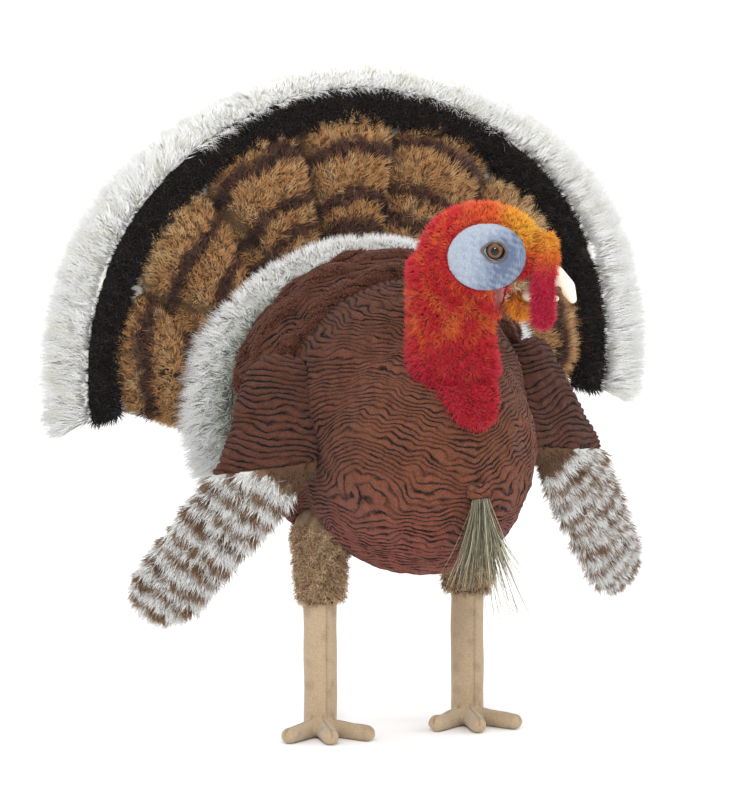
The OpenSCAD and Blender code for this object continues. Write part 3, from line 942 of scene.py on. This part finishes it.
@dataclass
class Tail:
    """The fan: seven stuffed panels, a dark band, a white fringe and the cloth behind."""

    frame: dict
    centre_z: float = 221.0
    root_z: float = 145.0
    front_y: float = 71.5
    root_r: float = 30.0
    panel_r: float = 166.0
    seams: tuple[float, ...] = (-99.0, -70.0, -41.0, -13.0, 13.0, 41.0, 70.0, 99.0)
    bars: tuple[tuple[float, float], ...] = ((18, 27), (50, 58), (69, 79), (96, 104), (120, 128))

    def rim(self, angle: np.ndarray, radius: float | np.ndarray) -> np.ndarray:
        """Return x and z at an angle in degrees from the top and a radius in mm."""
        turn = np.radians(angle)
        return np.stack([radius * np.sin(turn), self.centre_z + radius * np.cos(turn)], -1)

    def outward(self, points: np.ndarray) -> np.ndarray:
        """Return the direction away from the panels' root, in the fan's plane."""
        return unit((points - [0, 0, self.root_z]) * [1, 0, 1])

    def flatten(self, piece: bpy.types.Object, share: float, edge: float = 0.0) -> None:
        """Lower the fan's top, where the cloth is eased.

        Args:
            piece: the skin of a ring or a panel.
            share: how much of the radius is lost at the top.
            edge: how much of what lies past the band is lost there too.
        """
        points = points_of(piece)
        top = ramp(70 - np.abs(self.angle(points)), 0, 55)
        flat = points - [0, 0, self.centre_z]
        far = np.hypot(flat[:, 0], flat[:, 2])
        new = far * (1 - share * top)
        new = np.where(new > 180, 180 + (new - 180) * (1 - edge * top), new)
        flat *= np.stack([new / far, np.ones(len(far)), new / far], -1)
        move_points(piece, flat + [0, 0, self.centre_z])

    def angle(self, points: np.ndarray) -> np.ndarray:
        """Return degrees from the top about the fan's centre."""
        return np.degrees(np.arctan2(points[:, 0], points[:, 2] - self.centre_z))

    def near_seam(self, points: np.ndarray, width: float) -> np.ndarray:
        """Return 1 on a seam's line, falling off over a width in degrees."""
        away = np.abs(self.angle(points)[:, None] - np.array(self.seams[1:-1])).min(1)
        return np.exp(-(away / width) ** 2)

    def dye(self, index: int, points: np.ndarray) -> np.ndarray:
        """Return the gold of a panel with its soft dark bars, and painted shade along its seams."""
        middle = (self.seams[index] + self.seams[index + 1]) / 2
        way = np.array([math.sin(math.radians(middle)), 0, math.cos(math.radians(middle))])
        offset = points - [0, 0, self.centre_z]
        round_r = np.linalg.norm(offset * [1, 0, 1], axis=1)
        half = (self.seams[index + 1] - self.seams[index]) / 2
        scallop = 9.0 * np.clip((self.angle(points) - middle) / half, -1, 1) ** 2
        depth = self.panel_r - (0.3 * round_r + 0.7 * offset @ way) - scallop
        depth += 2.6 * waves(points, 24, 80 + index) + 1.6 * waves(points, 7, 90 + index)
        depth += (6.0, -4.0, 5.0, -3.0, 6.0, -5.0, 4.0)[index]
        gold, light, bar, deep = shades("#BF8E5C", "#E2C08D", "#4E2E2B", "#31191E")
        base = mixed(gold[None], light[None], ramp(waves(points, 9, 100 + index), -0.2, 1.2) * 0.8)
        base = mixed(base, light[None] * 1.05, ramp(-depth, -9, -2) * 0.6)
        dark = np.zeros(len(points))
        for low, high in self.bars:
            dark = np.maximum(dark, ramp(depth, low - 2.5, low + 1.5) * ramp(-depth, -high - 2.5, -high + 1.5))
        dye = mixed(base, mixed(bar[None], deep[None], ramp(waves(points, 12, 110), -0.3, 0.9)), dark * 0.93)
        # painted shade in the seam grooves between the panels
        return dye * (1 - 0.7 * self.near_seam(points, 1.9))[:, None]

    def panel(self, index: int) -> bpy.types.Object:
        """Make one stuffed, furred panel.

        Args:
            index: 0 to 6 from the bird's right to its left.

        Returns:
            The panel.
        """
        deselect()
        bpy.ops.mesh.primitive_grid_add(x_subdivisions=30, y_subdivisions=44, size=2)
        panel = named(f"panel_fur_{index + 1}")
        flat = np.empty(len(panel.data.vertices) * 3)
        panel.data.vertices.foreach_get("co", flat)
        u, v = (flat.reshape(-1, 3)[:, :2].T + 1) / 2
        first, last = self.seams[index], self.seams[index + 1]
        bulge = 12.0 * np.clip(np.sin(math.pi * u), 0, 1) ** 0.6
        rim = self.rim(first + (last - first) * u, self.panel_r - 12 + bulge)
        root = np.array([0, self.root_z])
        start = root + self.root_r * unit(rim - root)
        flat_spot = start + v[:, None] * (rim - start)
        across = np.clip(1 - np.abs(2 * u - 1) ** 2.6, 0, 1) ** 0.75
        ends = ramp(1 - v, 0, 0.12) * 0.75 + 0.25
        y = self.front_y + 8.5 - 15.5 * across * ends
        move_points(panel, np.stack([flat_spot[:, 0], y, flat_spot[:, 1]], -1))
        self.flatten(panel, 0.025)
        finish_modifier(panel, "SOLIDIFY", thickness=4 * MM, offset=-1.0)
        pile = Pile(1.09, 9.0, 0.93, Strand.FUR, stray=0.24, tuft=4.2, gather=0.4, tuft_stray=0.3,
                    fall=0.06, root=0.45, tip=1.2)
        seam = lambda p: 1 - 0.7 * self.near_seam(p, 2.0)  # noqa: E731
        fur = grow(panel, pile, lambda p, n: self.outward(p) * 0.8 + n * 0.62, lambda p: self.dye(index, p),
                   120 + index, where=lambda f: (f[:, 4] < -0.1) * 1.0, reach=seam)
        return ride_as(fur, FUR, "tail", "barred_fur", f"tail_panel_{index + 1}", fill=0.7)

    def band(self) -> bpy.types.Object:
        """Make the dark band round the panels."""
        skin = cad_copy(self.frame, "tail_black_band", "band_fur")
        remesh(skin, 2.6, smooth=2)
        self.flatten(skin, 0.04)
        pile = Pile(1.13, 7.5, 0.93, Strand.FUR, stray=0.3, tuft=3.5, tuft_stray=0.35, root=0.4, tip=1.5)

        def notch(points: np.ndarray) -> np.ndarray:
            far = np.hypot(points[:, 0], points[:, 2] - self.centre_z)
            return 1 - 0.75 * self.near_seam(points, 2.0) * ramp(far, 172, 184)

        fur = grow(skin, pile, lambda p, n: self.outward(p) * 0.6 + n * 0.8,
                   lambda p: mixed(shades("#191110"), shades("#2E1F1A"), ramp(waves(p, 8, 5), 0.1, 1.1)),
                   131, where=lambda f: (f[:, 4] < 0.3) * 1.0, reach=notch)
        return ride_as(fur, FUR, "tail", "black_plush", "tail_black_band")

    def fringe(self) -> bpy.types.Object:
        """Make the white fringe round the fan."""
        skin = cad_copy(self.frame, "tail_white_fringe", "fringe_fur")
        remesh(skin, 2.6, smooth=2)
        self.flatten(skin, 0.03, 0.45)
        pile = Pile(1.65, 21, 0.62, Strand.FUR, stray=0.14, tuft=7, gather=0.2, tuft_stray=0.13, root=0.97, tip=1.1)

        def reach(points: np.ndarray) -> np.ndarray:
            far = np.hypot(points[:, 0], points[:, 2] - self.centre_z)
            top = ramp(70 - np.abs(self.angle(points)), 0, 55)
            return (1.0 - 0.2 * ramp(far, 192, 205)) * (1 - 0.55 * top)

        def comb(points: np.ndarray, normal: np.ndarray) -> np.ndarray:
            lean = normal * 0.4
            lean[:, 1] *= np.where(normal[:, 1] > 0, 0.3, 1.0)
            return self.outward(points) + lean

        fur = grow(skin, pile, comb,
                   lambda p: mixed(shades("#F1F0E8"), shades("#FFFFFD"), ramp(waves(p, 14, 8), -0.6, 0.3)),
                   141, where=lambda f: np.where(f[:, 4] < 0.3, 1.0, 0.35) * (np.hypot(
                       f[:, 0], f[:, 2] - self.centre_z) > 188 - 10 * ramp(70 - np.abs(self.angle(f)), 0, 55)),
                   reach=reach)
        return ride_as(fur, FUR, "tail", "white_fur", "tail_white_fringe")

    def back(self) -> bpy.types.Object:
        """Make the cloth behind the fan, drawn in along the panels' seams."""
        cloth = cad_copy(self.frame, "tail_back", "tail_back_plush")
        remesh(cloth, 2.0, smooth=3)
        points, normal = points_of(cloth), normals_of(cloth)
        pulled = self.near_seam(points, 1.3) * (normal[:, 1] > 0.3)
        puff = 1.0 * (1 - self.near_seam(points, 7.0)) * (normal[:, 1] > 0.3)
        points += normal * (puff - 1.6 * pulled)[:, None]
        move_points(cloth, points)

        def dye(spots: np.ndarray) -> np.ndarray:
            tone = mixed(shades("#5E3B2C"), shades("#7A5240"), ramp(waves(spots, 16, 9), -0.8, 0.8))
            # painted shade along the seams, where the cloth is drawn in
            return tone * (1 - 0.5 * self.near_seam(spots, 1.2))[:, None]

        nap = Pile(0.61, 3.2, 0.99, Strand.FUR, stray=0.3, tuft=4, tuft_stray=0.35, root=0.5, tip=1.2)
        cloth = grow(cloth, nap, lambda p, n: self.outward(p) * 0.7 + n * 0.6, dye, 151,
                     where=lambda f: (f[:, 4] > 0.2) * 1.0)
        return ride_as(cloth, FUR, "tail", "tail_cloth", "tail_back")

    def build(self) -> None:
        """Make the whole tail."""
        for index in range(len(self.seams) - 1):
            self.panel(index)
        self.band()
        self.fringe()
        self.back()
        root = cad_copy(self.frame, "tail_root", "tail_root_plush")
        remesh(root, 1.4, smooth=3)
        crinkle(root, lambda p: p[:, 2] / 3.6, 1.0, Body.dye, 161)
        ride_as(root, CRINKLE, "tail", "puckered_plush", "tail_root")


# ---- neck and head ----


@dataclass
class Head:
    """Neck, bib, head, face, snood, beak and chin."""

    frame: dict
    turn: float = 52.0  # degrees that the head looks to the bird's left
    axis_y: float = -80.0
    middle: tuple[float, float, float] = (0.0, -21.0, 306.0)
    semi: tuple[float, float, float] = (26.5, 40.0, 35.0)
    patch: tuple[float, float, float] = (0.0, -28.0, 311.0)
    eye: tuple[float, float, float] = (0.0, -34.7, 315.0)
    eye_r: float = 6.3
    bib_top: tuple[float, float, float] = (0.0, -80.0, 240.0)

    def local(self, points: np.ndarray) -> np.ndarray:
        """Turn points into the head's own frame, which faces -Y about the neck's axis."""
        angle = math.radians(self.turn)
        x, y = points[:, 0], points[:, 1] - self.axis_y
        return np.stack([x * math.cos(angle) + y * math.sin(angle),
                         -x * math.sin(angle) + y * math.cos(angle), points[:, 2]], -1)

    def out(self, vector: tuple[float, float, float]) -> np.ndarray:
        """Turn a direction of the head's frame into the bird's."""
        angle = math.radians(self.turn)
        x, y, z = vector
        return np.array([x * math.cos(angle) - y * math.sin(angle),
                         x * math.sin(angle) + y * math.cos(angle), z])

    def off_patch(self, spots: np.ndarray) -> np.ndarray:
        """Return 1 on the face patch's outline and less inside it, from points of the head's frame."""
        return ((spots[:, 1] - self.patch[1]) / 24.5) ** 2 + ((spots[:, 2] - self.patch[2]) / 21) ** 2

    def flame(self, points: np.ndarray) -> np.ndarray:
        """Return the head's dye: red behind, orange above, yellow on the brow, mottled all over."""
        spot = self.local(points)
        red, crimson, orange, yellow = shades("#D8202E", "#C41A36", "#F26B2A", "#FBB034")
        mottle = waves(points, 13, 201) * 0.7 + waves(points, 5, 202) * 0.5
        dye = mixed(red[None], orange[None], ramp(mottle, 0.0, 0.9))
        brow = ramp(-spot[:, 1], 14, 50) * ramp(spot[:, 2], 300, 322)
        dye = mixed(dye, orange[None], np.clip(brow * 1.4 + ramp(-spot[:, 1], 2, 18) * ramp(spot[:, 2], 325, 337)
                                               * 0.7, 0, 1) * 0.85)
        dye = mixed(dye, yellow[None], ramp(brow + 0.25 * mottle, 0.45, 0.95))
        nape = ramp(spot[:, 1], -22, 4)
        dye = mixed(dye, red[None], nape * ramp(-mottle, -0.7, 0.2) * 0.85)
        low = ramp(-spot[:, 2], -262, -235)
        dye = mixed(dye, crimson[None], low * 0.75)
        warm = np.exp(-((spot[:, 2] - 272) / 15) ** 2) * ramp(mottle, -0.5, 0.6)
        dye = mixed(dye, shades("#F58A3C"), warm * 0.6)
        cere = ramp(-spot[:, 1], 40, 46) * ramp(-spot[:, 2], -299, -295)
        return mixed(dye, shades("#D6BF95"), cere)

    def plush(self, node: str, name: str, body: object, slot: str, seed: int, pile: Pile,
              where: Field | None = None, fill: float | None = None, voxel: float = 1.6,
              comb: Callable | None = None) -> bpy.types.Object:
        """Make one of the flame-dyed pieces.

        Args:
            node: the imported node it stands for.
            name: its own name.
            body: what it rides.
            slot: the record's slot.
            seed: picks the scatter.
            pile: its pile.
            where: which faces bear fibres.
            fill: how tightly it is stuffed, if it is.
            voxel: size of the skin's quads in mm.
            comb: the nap's direction, or the usual one.

        Returns:
            The piece.
        """
        skin = cad_copy(self.frame, node, name)
        if node == "head_shell":
            skin = joined(name, skin, self.nape())
        remesh(skin, voxel, smooth=3)
        if node == "neck_bib":
            points = points_of(skin)
            move_points(skin, self.bib_top + (points - self.bib_top) * [0.9, 1, 0.84])
        fur = grow(skin, pile, comb or (lambda p, n: n * 0.8 + [0, 0, -0.35]), self.flame, seed, where=where)
        return ride_as(fur, FUR, body, slot, node, fill=fill)

    def nape(self) -> bpy.types.Object:
        """Make the hollow swell that eases the back of the head into the neck."""
        centre, semi = tuple(self.out((0, -2, 0)) + [0, self.axis_y, 296]), (25.2, 26.6, 24.0)
        swell = ball("nape", centre, semi, 64)
        cut_from(swell, ball("room", centre, tuple(size - 2.6 for size in semi), 64))
        deselect()
        bpy.ops.mesh.primitive_cylinder_add(vertices=64, radius=22.6 * MM, depth=0.05, location=at((0, self.axis_y, 262)))
        cut_from(swell, named("bore"))
        front = tuple(self.out((0, -14, 0)) + [0, self.axis_y, 296])
        bisect(swell, front, tuple(self.out((0, -1, 0))))
        return swell

    def throat(self) -> None:
        """Make the felt that closes the back of the mouth."""
        felt = cad_copy(self.frame, "head_stuffing", "throat_felt")
        bisect(felt, (0, 0, 289), (0, 0, 1), fill=False)
        bisect(felt, tuple(self.out((0, -30.4, 0)) + [0, self.axis_y, 0]), tuple(self.out((0, 1, 0))), fill=False)
        finish_modifier(felt, "SOLIDIFY", thickness=0.5 * MM, offset=1.0)
        ride_as(felt, FELT, "head", "mouth_felt")

    def neck(self) -> None:
        """Make the neck and its bib."""
        pile = Pile(1.3, 6.5, 0.77, Strand.FUR, stray=0.35, tuft=3.2, gather=0.4, tuft_stray=0.4, root=0.6, tip=1.15)

        def outside(faces: np.ndarray) -> np.ndarray:
            away = faces[:, 3] * faces[:, 0] + faces[:, 4] * (faces[:, 1] - self.axis_y)
            return ((away > 0) & (faces[:, 2] > 224)) * 1.0

        self.plush("neck_sleeve", "neck_plush", ("body", "neck", (0, -80, 226), (0, -80, 252)),
                   "head_plush", 211, pile, where=outside)
        self.plush("neck_bib", "bib_plush", "body", "head_plush", 212, pile,
                   where=lambda f: (f[:, 4] < 0.3) * 1.0)

    def crown(self) -> None:
        """Make the furred head."""
        pile = Pile(1.3, 6.5, 0.77, Strand.FUR, stray=0.35, tuft=3.2, gather=0.4, tuft_stray=0.4, fall=0.05,
                    root=0.6, tip=1.15)

        def outside(faces: np.ndarray) -> np.ndarray:
            spot = self.local(faces[:, :3])
            away = spot - self.middle
            shell = np.sqrt((away / self.semi) ** 2 @ np.ones(3)) > 0.93
            collar = (np.hypot(spot[:, 0], spot[:, 1]) > 24.5) & (spot[:, 2] < 290)
            patch = (self.off_patch(spot) < 1) & (np.abs(spot[:, 0]) > 10)
            mouth = (spot[:, 2] < 291.5) & (spot[:, 1] < -31)
            return ((shell | collar) & ~patch & ~mouth) * 1.0

        def comb(points: np.ndarray, normal: np.ndarray) -> np.ndarray:
            spot = self.local(points)
            away = (spot - self.patch) * [0, 1, 1]
            lean = unit(away) * np.exp(-((self.off_patch(spot) - 1) / 0.5) ** 2)[:, None]
            turned = np.stack([lean[:, 0] * 0 - lean[:, 1] * math.sin(math.radians(self.turn)),
                               lean[:, 1] * math.cos(math.radians(self.turn)), lean[:, 2]], -1)
            return normal * 0.8 + turned * 0.7

        self.plush("head_shell", "head_fur", "head", "head_plush", 221, pile, where=outside, fill=0.9, comb=comb)

    def face(self, side: int) -> None:
        """Make a face patch, an eye and its rim.

        Args:
            side: 1 for the bird's left and -1 for its right.
        """
        word = "left" if side > 0 else "right"
        patch = cad_copy(self.frame, f"face_patch_{word}", f"face_velour_{word}")
        remesh(patch, 0.8, smooth=8)
        spots = self.local(points_of(patch))
        pale, shade, deep = shades("#98A1AE", "#6A768C", "#4C566E")
        from_eye = np.hypot(spots[:, 1] - self.eye[1], spots[:, 2] - self.eye[2])
        dark = ramp(-spots[:, 1] + 0.5 * (self.eye[2] - spots[:, 2]), 20, 46) * 0.85 + 0.25 * np.exp(-((from_eye - 9) / 5) ** 2)
        dark = np.clip(dark + 0.25 * waves(spots, 5, 231) + 0.25 * waves(spots * [1, 1, 0.45], 1.8, 232, 12), 0, 1)
        dye = mixed(mixed(pale[None], shade[None], dark), deep[None], ramp(dark, 0.75, 1.2))
        paint(patch, dye)
        ride_as(patch, VELOUR, "head", "face_velour", f"face_patch_{word}")

        low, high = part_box(f"eye_{word}")
        centre = np.array((low + high) / 2) / MM - SET_DOWN
        way = Vector(self.out((side * 1.0, -0.16, 0.04))).normalized()
        deselect()
        bpy.ops.mesh.primitive_uv_sphere_add(segments=64, ring_count=40, radius=self.eye_r * MM, location=at(tuple(centre)),
                                             rotation=way.to_track_quat("Z", "Y").to_euler())
        eye = named(f"eye_ball_{word}")
        gaze = unit(points_of(eye) - centre) @ np.array(way)
        open_angle = np.degrees(np.arccos(np.clip(gaze, -1, 1)))
        black, brown, amber = shades("#080606", "#3A1D0E", "#6E4222")
        ring = mixed(brown[None], amber[None], np.exp(-((open_angle - 34) / 8) ** 2))
        ring = mixed(black[None], ring, ramp(open_angle, 22, 26) * ramp(-open_angle, -50, -45))
        paint(eye, ring)
        bpy.ops.object.shade_smooth()
        ride_as(eye, EYE, "head", "eye_plastic", f"eye_{word}")

        low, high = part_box(f"eye_rim_{word}")
        middle = np.array((low + high) / 2) / MM - SET_DOWN
        deselect()
        bpy.ops.mesh.primitive_torus_add(major_radius=(self.eye_r + 0.2) * MM, minor_radius=1.0 * MM, major_segments=96,
                                         minor_segments=16, location=at(tuple(middle)),
                                         rotation=way.to_track_quat("Z", "Y").to_euler())
        rim = named(f"eye_lid_{word}")
        points = points_of(rim)
        away = points - middle
        rear = self.out((0, 1, 0.12))
        along = unit(away) @ unit(rear)
        points += rear * (np.clip(along, 0, 1) ** 9 * 2.4)[:, None]
        front = self.out((0, -1, -0.1))
        points += front * (np.clip(unit(away) @ unit(front), 0, 1) ** 9 * 0.9)[:, None]
        move_points(rim, points)
        bpy.ops.object.shade_smooth()
        ride_as(rim, RIM, "head", "rim_plastic", f"eye_rim_{word}")

    def snood(self) -> None:
        """Make the snood that hangs over the beak."""
        skin = cad_copy(self.frame, "snood", "snood_fur")
        remesh(skin, 1.2, smooth=10)
        pile = Pile(1.74, 5.2, 0.74, Strand.FUR, stray=0.35, tuft=2.6, tuft_stray=0.3, root=0.65, tip=1.1)

        def dye(points: np.ndarray) -> np.ndarray:
            amber, orange, crimson = shades("#F9A233", "#EE5A2C", "#D01C45")
            down = ramp(-points[:, 2] + 3 * waves(points, 8, 241), -322, -304)
            far = ramp(-points[:, 2] + 4 * waves(points, 7, 242), -312, -296)
            return mixed(mixed(amber[None], orange[None], down), crimson[None], far)

        fur = grow(skin, pile, lambda p, n: n * 0.8 + [0, 0, -0.5], dye, 243)
        ride_as(fur, FUR, "snood", "head_plush", "snood")

    def beak(self) -> None:
        """Make both halves of the beak and the chin."""
        for node, name, body in (("upper_beak", "beak_upper", "head"), ("lower_beak", "beak_lower", "jaw")):
            horn = cad_copy(self.frame, node, name)
            remesh(horn, 0.7, smooth=14)
            spots = self.local(points_of(horn))
            tip, base, seam = shades("#A48D66", "#B8A47E", "#86704C")
            dye = mixed(base[None], tip[None], ramp(-spots[:, 1], 60, 84))
            dye = mixed(dye, seam[None], np.exp(-(spots[:, 0] / 0.5) ** 2) * 0.6)
            paint(horn, dye)
            ride_as(horn, BEAK, body, "beak_velour", node)
        self.throat()
        pile = Pile(1.39, 6.5, 0.74, Strand.FUR, stray=0.4, tuft=3, tuft_stray=0.4, root=0.6, tip=1.15)
        skin = cad_copy(self.frame, "chin_plush", "chin_fur")
        remesh(skin, 1.2, smooth=3)

        def dye_chin(points: np.ndarray) -> np.ndarray:
            return mixed(shades("#F49A2C"), shades("#E04A28"), ramp(waves(points, 7, 251), -0.1, 0.9))

        fur = grow(skin, pile, lambda p, n: n * 0.7 + [0, 0, -0.5], dye_chin, 252,
                   where=lambda f: (f[:, 5] < 0.5) * 1.0)
        ride_as(fur, FUR, "jaw", "head_plush", "chin_plush")

    def build(self) -> None:
        """Make the neck and the head."""
        self.neck()
        self.crown()
        for side in (1, -1):
            self.face(side)
        self.snood()
        self.beak()


# ---- wings, legs and beard ----


@dataclass
class Wing:
    """One wing: a crinkled sleeve and a barred furred end."""

    frame: dict
    side: int  # 1 for the bird's left and -1 for its right
    start: tuple[float, float, float] = (106.0, -30.0, 172.0)
    tip: tuple[float, float, float] = (161.0, 8.0, 89.0)
    shoulder: tuple[float, float, float] = (90.0, -10.0, 226.0)
    bar: float = 13.0  # mm from one brown bar to the next

    def build(self) -> None:
        """Make the wing."""
        word = "left" if self.side > 0 else "right"
        flip = np.array([self.side, 1, 1])
        way = unit((np.array(self.tip) - self.start) * flip)
        down = (np.array(self.start) - self.shoulder) * flip

        sleeve = cad_copy(self.frame, f"wing_sleeve_{word}", f"wing_sleeve_plush_{word}")
        remesh(sleeve, 1.1, smooth=2)
        crinkle(sleeve, lambda p: p @ unit(down) / 4.4, 2.6, lambda p: shades("#4A2B20")[0] + p[:, :1] * 0,
                300 + self.side, wander=0.9)
        high = tuple(np.array(self.shoulder) * flip + unit(down) * 2)
        low = tuple(np.array(self.shoulder) * flip + unit(down) * 26)
        ride_as(sleeve, CRINKLE, ("body", f"wing_{word}", high, low), "puckered_plush", f"wing_sleeve_{word}")

        skin = cad_copy(self.frame, f"wing_feathers_{word}", f"wing_fur_{word}")
        remesh(skin, 1.3, smooth=2)
        pile = Pile(1.13, 10, 0.81, Strand.FUR, stray=0.26, tuft=4.5, gather=0.4, tuft_stray=0.3, fall=0.2,
                    root=0.72, tip=1.08)

        def dye(points: np.ndarray) -> np.ndarray:
            along = (points - np.array(self.start) * flip) @ way
            wave = np.sin(2 * math.pi * (along + 3.2 * waves(points, 26, 311) + 1.2 * waves(points, 7, 312)) / self.bar)
            white, brown, deep = shades("#FFFEFA", "#8C6843", "#6A4A31")
            bars = mixed(brown[None], deep[None], ramp(waves(points, 10, 313), -0.2, 1.0))
            barred = mixed(white[None], bars, ramp(wave, 0.05, 0.5))
            return mixed(barred, deep[None], ramp(-along, -3.5, -0.5))

        def reach(points: np.ndarray) -> np.ndarray:
            along = (points - np.array(self.start) * flip) @ way
            return (0.45 + 0.55 * ramp(along, 0, 8)) * (1 - 0.35 * ramp(along, 95, 125))

        fur = grow(skin, pile, lambda p, n: way * 0.8 + n * 0.55, dye, 320 + self.side,
                   where=lambda f: (f[:, 3:] @ -way < 0.35) * 1.0, reach=reach)
        ride_as(fur, FUR, f"wing_{word}", "wing_fur", f"wing_feathers_{word}", fill=0.5)


@dataclass
class Leg:
    """One leg: a curly thigh, and a velour shank and foot in one."""

    frame: dict
    side: int
    x: float = 53.0
    y: float = 6.0
    toes: tuple[float, ...] = (-55.0, -15.0, 25.0, 165.0)

    def foot_dye(self, points: np.ndarray, seam: np.ndarray) -> np.ndarray:
        """Return the velour's tan with random wear, and painted shade in the seam's groove and at the sole."""
        tan, shade = shades("#B09A7E", "#7F6C56")
        # painted shade at the sole, where the foot meets the floor
        painted_sole_shade = ramp(-points[:, 2], ANKLE_Z - 2.5, ANKLE_Z)
        # random wear plus painted shade in the seam and at the sole
        wear_and_painted_shade = 0.35 * ramp(waves(points, 11, 331), 0.1, 1.0) + 0.7 * seam + 0.3 * painted_sole_shade
        return mixed(tan[None], shade[None], np.clip(wear_and_painted_shade, 0, 1))

    def build(self) -> None:
        """Make the leg."""
        word = "left" if self.side > 0 else "right"
        foot = cad_copy(self.frame, f"foot_cover_{word}", f"foot_velour_{word}")
        remesh(foot, 1.1, smooth=7)
        points, normal = points_of(foot), normals_of(foot)
        spot = points - [self.side * self.x, self.y, 0]
        off = np.full(len(points), 99.0)
        for turn in self.toes:
            way = np.array([math.sin(math.radians(turn)), -math.cos(math.radians(turn))])
            along = spot[:, :2] @ way
            aside = np.abs(spot[:, 0] * way[1] - spot[:, 1] * way[0])
            off = np.where((along > 3) & (normal[:, 2] > 0.1), np.minimum(off, aside), off)
        shank = (points[:, 2] > 12 - ANKLE_Z) & (normal[:, 1] < 0) & (np.hypot(spot[:, 0], spot[:, 1]) > 8)
        off = np.where(shank, np.minimum(off, np.abs(spot[:, 0])), off)
        seam = np.exp(-(off / 0.55) ** 2)
        swell = 0.5 * waves(points, 16, 341) * (points[:, 2] > 4 - ANKLE_Z)
        points += normal * (swell - 0.7 * seam)[:, None]
        move_points(foot, points)
        paint(foot, self.foot_dye(points, seam))
        ride_as(foot, VELOUR, f"leg_{word}", "leg_velour", f"foot_cover_{word}", fill=0.95)

        thigh = cad_copy(self.frame, f"thigh_cover_{word}", f"thigh_fur_{word}")
        remesh(thigh, 1.4, smooth=3)
        pile = Pile(0.9, 6.5, 0.8, Strand.LOCK, stray=0.6, tuft=3.4, gather=0.75, tuft_stray=0.5, curl=1.1,
                    turns=1.0, root=0.6, tip=1.25)

        def dye(spots: np.ndarray) -> np.ndarray:
            return mixed(shades("#A08060"), shades("#CFAF8A"), ramp(waves(spots, 7, 351), -0.6, 0.6))

        def outside(faces: np.ndarray) -> np.ndarray:
            away = faces[:, 3] * (faces[:, 0] - self.side * self.x) + faces[:, 4] * (faces[:, 1] - self.y)
            return ((away > 0) & (faces[:, 2] < 126)) * 1.0

        fur = grow(thigh, pile, lambda p, n: n * 0.6 + [0, 0, -0.6], dye, 350 + self.side, where=outside)
        ride_as(fur, FUR, f"leg_{word}", "thigh_curl", f"thigh_cover_{word}")


@dataclass
class Beard:
    """The tuft of long hair that hangs from the chest."""

    frame: dict
    root: tuple[float, float, float] = (0.0, -124.5, 157.0)
    hairs: int = 300
    length: float = 62.0

    def build(self) -> None:
        """Make the beard."""
        rng = np.random.default_rng(401)
        count, joints = self.hairs, Strand.HAIR.value
        spread = rng.uniform(-1, 1, count)
        start = np.array(self.root) + np.stack([spread * 5, rng.uniform(-2, 2, count), rng.uniform(-3, 0, count)], -1)
        length = self.length * rng.uniform(0.55, 1.0, count)
        long = count // 14
        length[:long] = self.length * rng.uniform(1.15, 1.5, long)
        share = np.linspace(0, 1, joints + 1)
        lean = spread * 0.3 + rng.normal(0.05, 0.12, count)
        lean[:long] = rng.uniform(0.1, 0.5, long)
        line = start[:, None] + np.zeros((count, joints + 1, 3))
        line[..., 0] += lean[:, None] * length[:, None] * share * (0.6 + 0.4 * share)
        line[..., 1] += rng.uniform(-2.5, 2.0, count)[:, None] * share
        line[..., 2] -= length[:, None] * share
        bend = rng.uniform(0, 2 * math.pi, (count, 1)) + share * rng.uniform(2, 6, (count, 1))
        line[..., 0] += np.sin(bend) * share * 1.6
        line[..., 1] += np.cos(bend) * share * 0.9
        across = rng.uniform(0.22, 0.42, (count, 1)) * (1 - share[:-1] * 0.55)
        dark, grey, straw = shades("#504C3C", "#8B8670", "#CFC5A4")
        tone = rng.random(count)
        dye = mixed(mixed(dark[None], grey[None], ramp(tone, 0.1, 0.6)), straw[None], ramp(tone, 0.7, 1.0))
        # painted shade at each hair's root, brightening to painted light at its tip
        dye = dye[:, None] * (0.65 + 0.5 * share)[None, :, None]
        hair = fibre_mesh("beard_hair", line, across, dye)
        ride_as(hair, FUR, "beard", "beard_hair", "beard_tuft")


INNER = {
    "body_stuffing": STUFFING, "hand_lining": LINING, "neck_lining": LINING, "head_stuffing": SHADE_DARK_STUFFING,
    "finger_pocket": LINING, "upper_mouth_board": FELT, "lower_mouth_board": FELT, "tail_batting": STUFFING,
    "eye_washer_left": WASHER, "eye_washer_right": WASHER, "wing_stuffing_left": SHADE_DARK_STUFFING,
    "wing_stuffing_right": SHADE_DARK_STUFFING, "leg_stuffing_left": SHADE_DARK_STUFFING, "leg_stuffing_right": SHADE_DARK_STUFFING,
}


def dress_inner(frame: dict) -> None:
    """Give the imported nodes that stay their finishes."""
    for node, finish in INNER.items():
        mesh = frame["nodes"][node].data
        mesh.materials.clear()
        mesh.materials.append(finish.material())


def corners(bounds: object) -> list[list[float]]:
    """Return a box as plain lists of numbers."""
    return [[float(value) for value in corner] for corner in bounds]


def main() -> None:
    """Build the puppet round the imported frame."""
    logging.basicConfig(level=logging.INFO, format="%(name)s: %(message)s")
    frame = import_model()
    cad_box = corners(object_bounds())
    Studio().build()
    Body(frame).build()
    Tail(frame).build()
    Head(frame).build()
    for side in (1, -1):
        Wing(frame, side).build()
        Leg(frame, side).build()
    Beard(frame).build()
    dress_inner(frame)
    {"cad": cad_box, "visual": corners(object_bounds())}


if __name__ == "__main__":
    main()
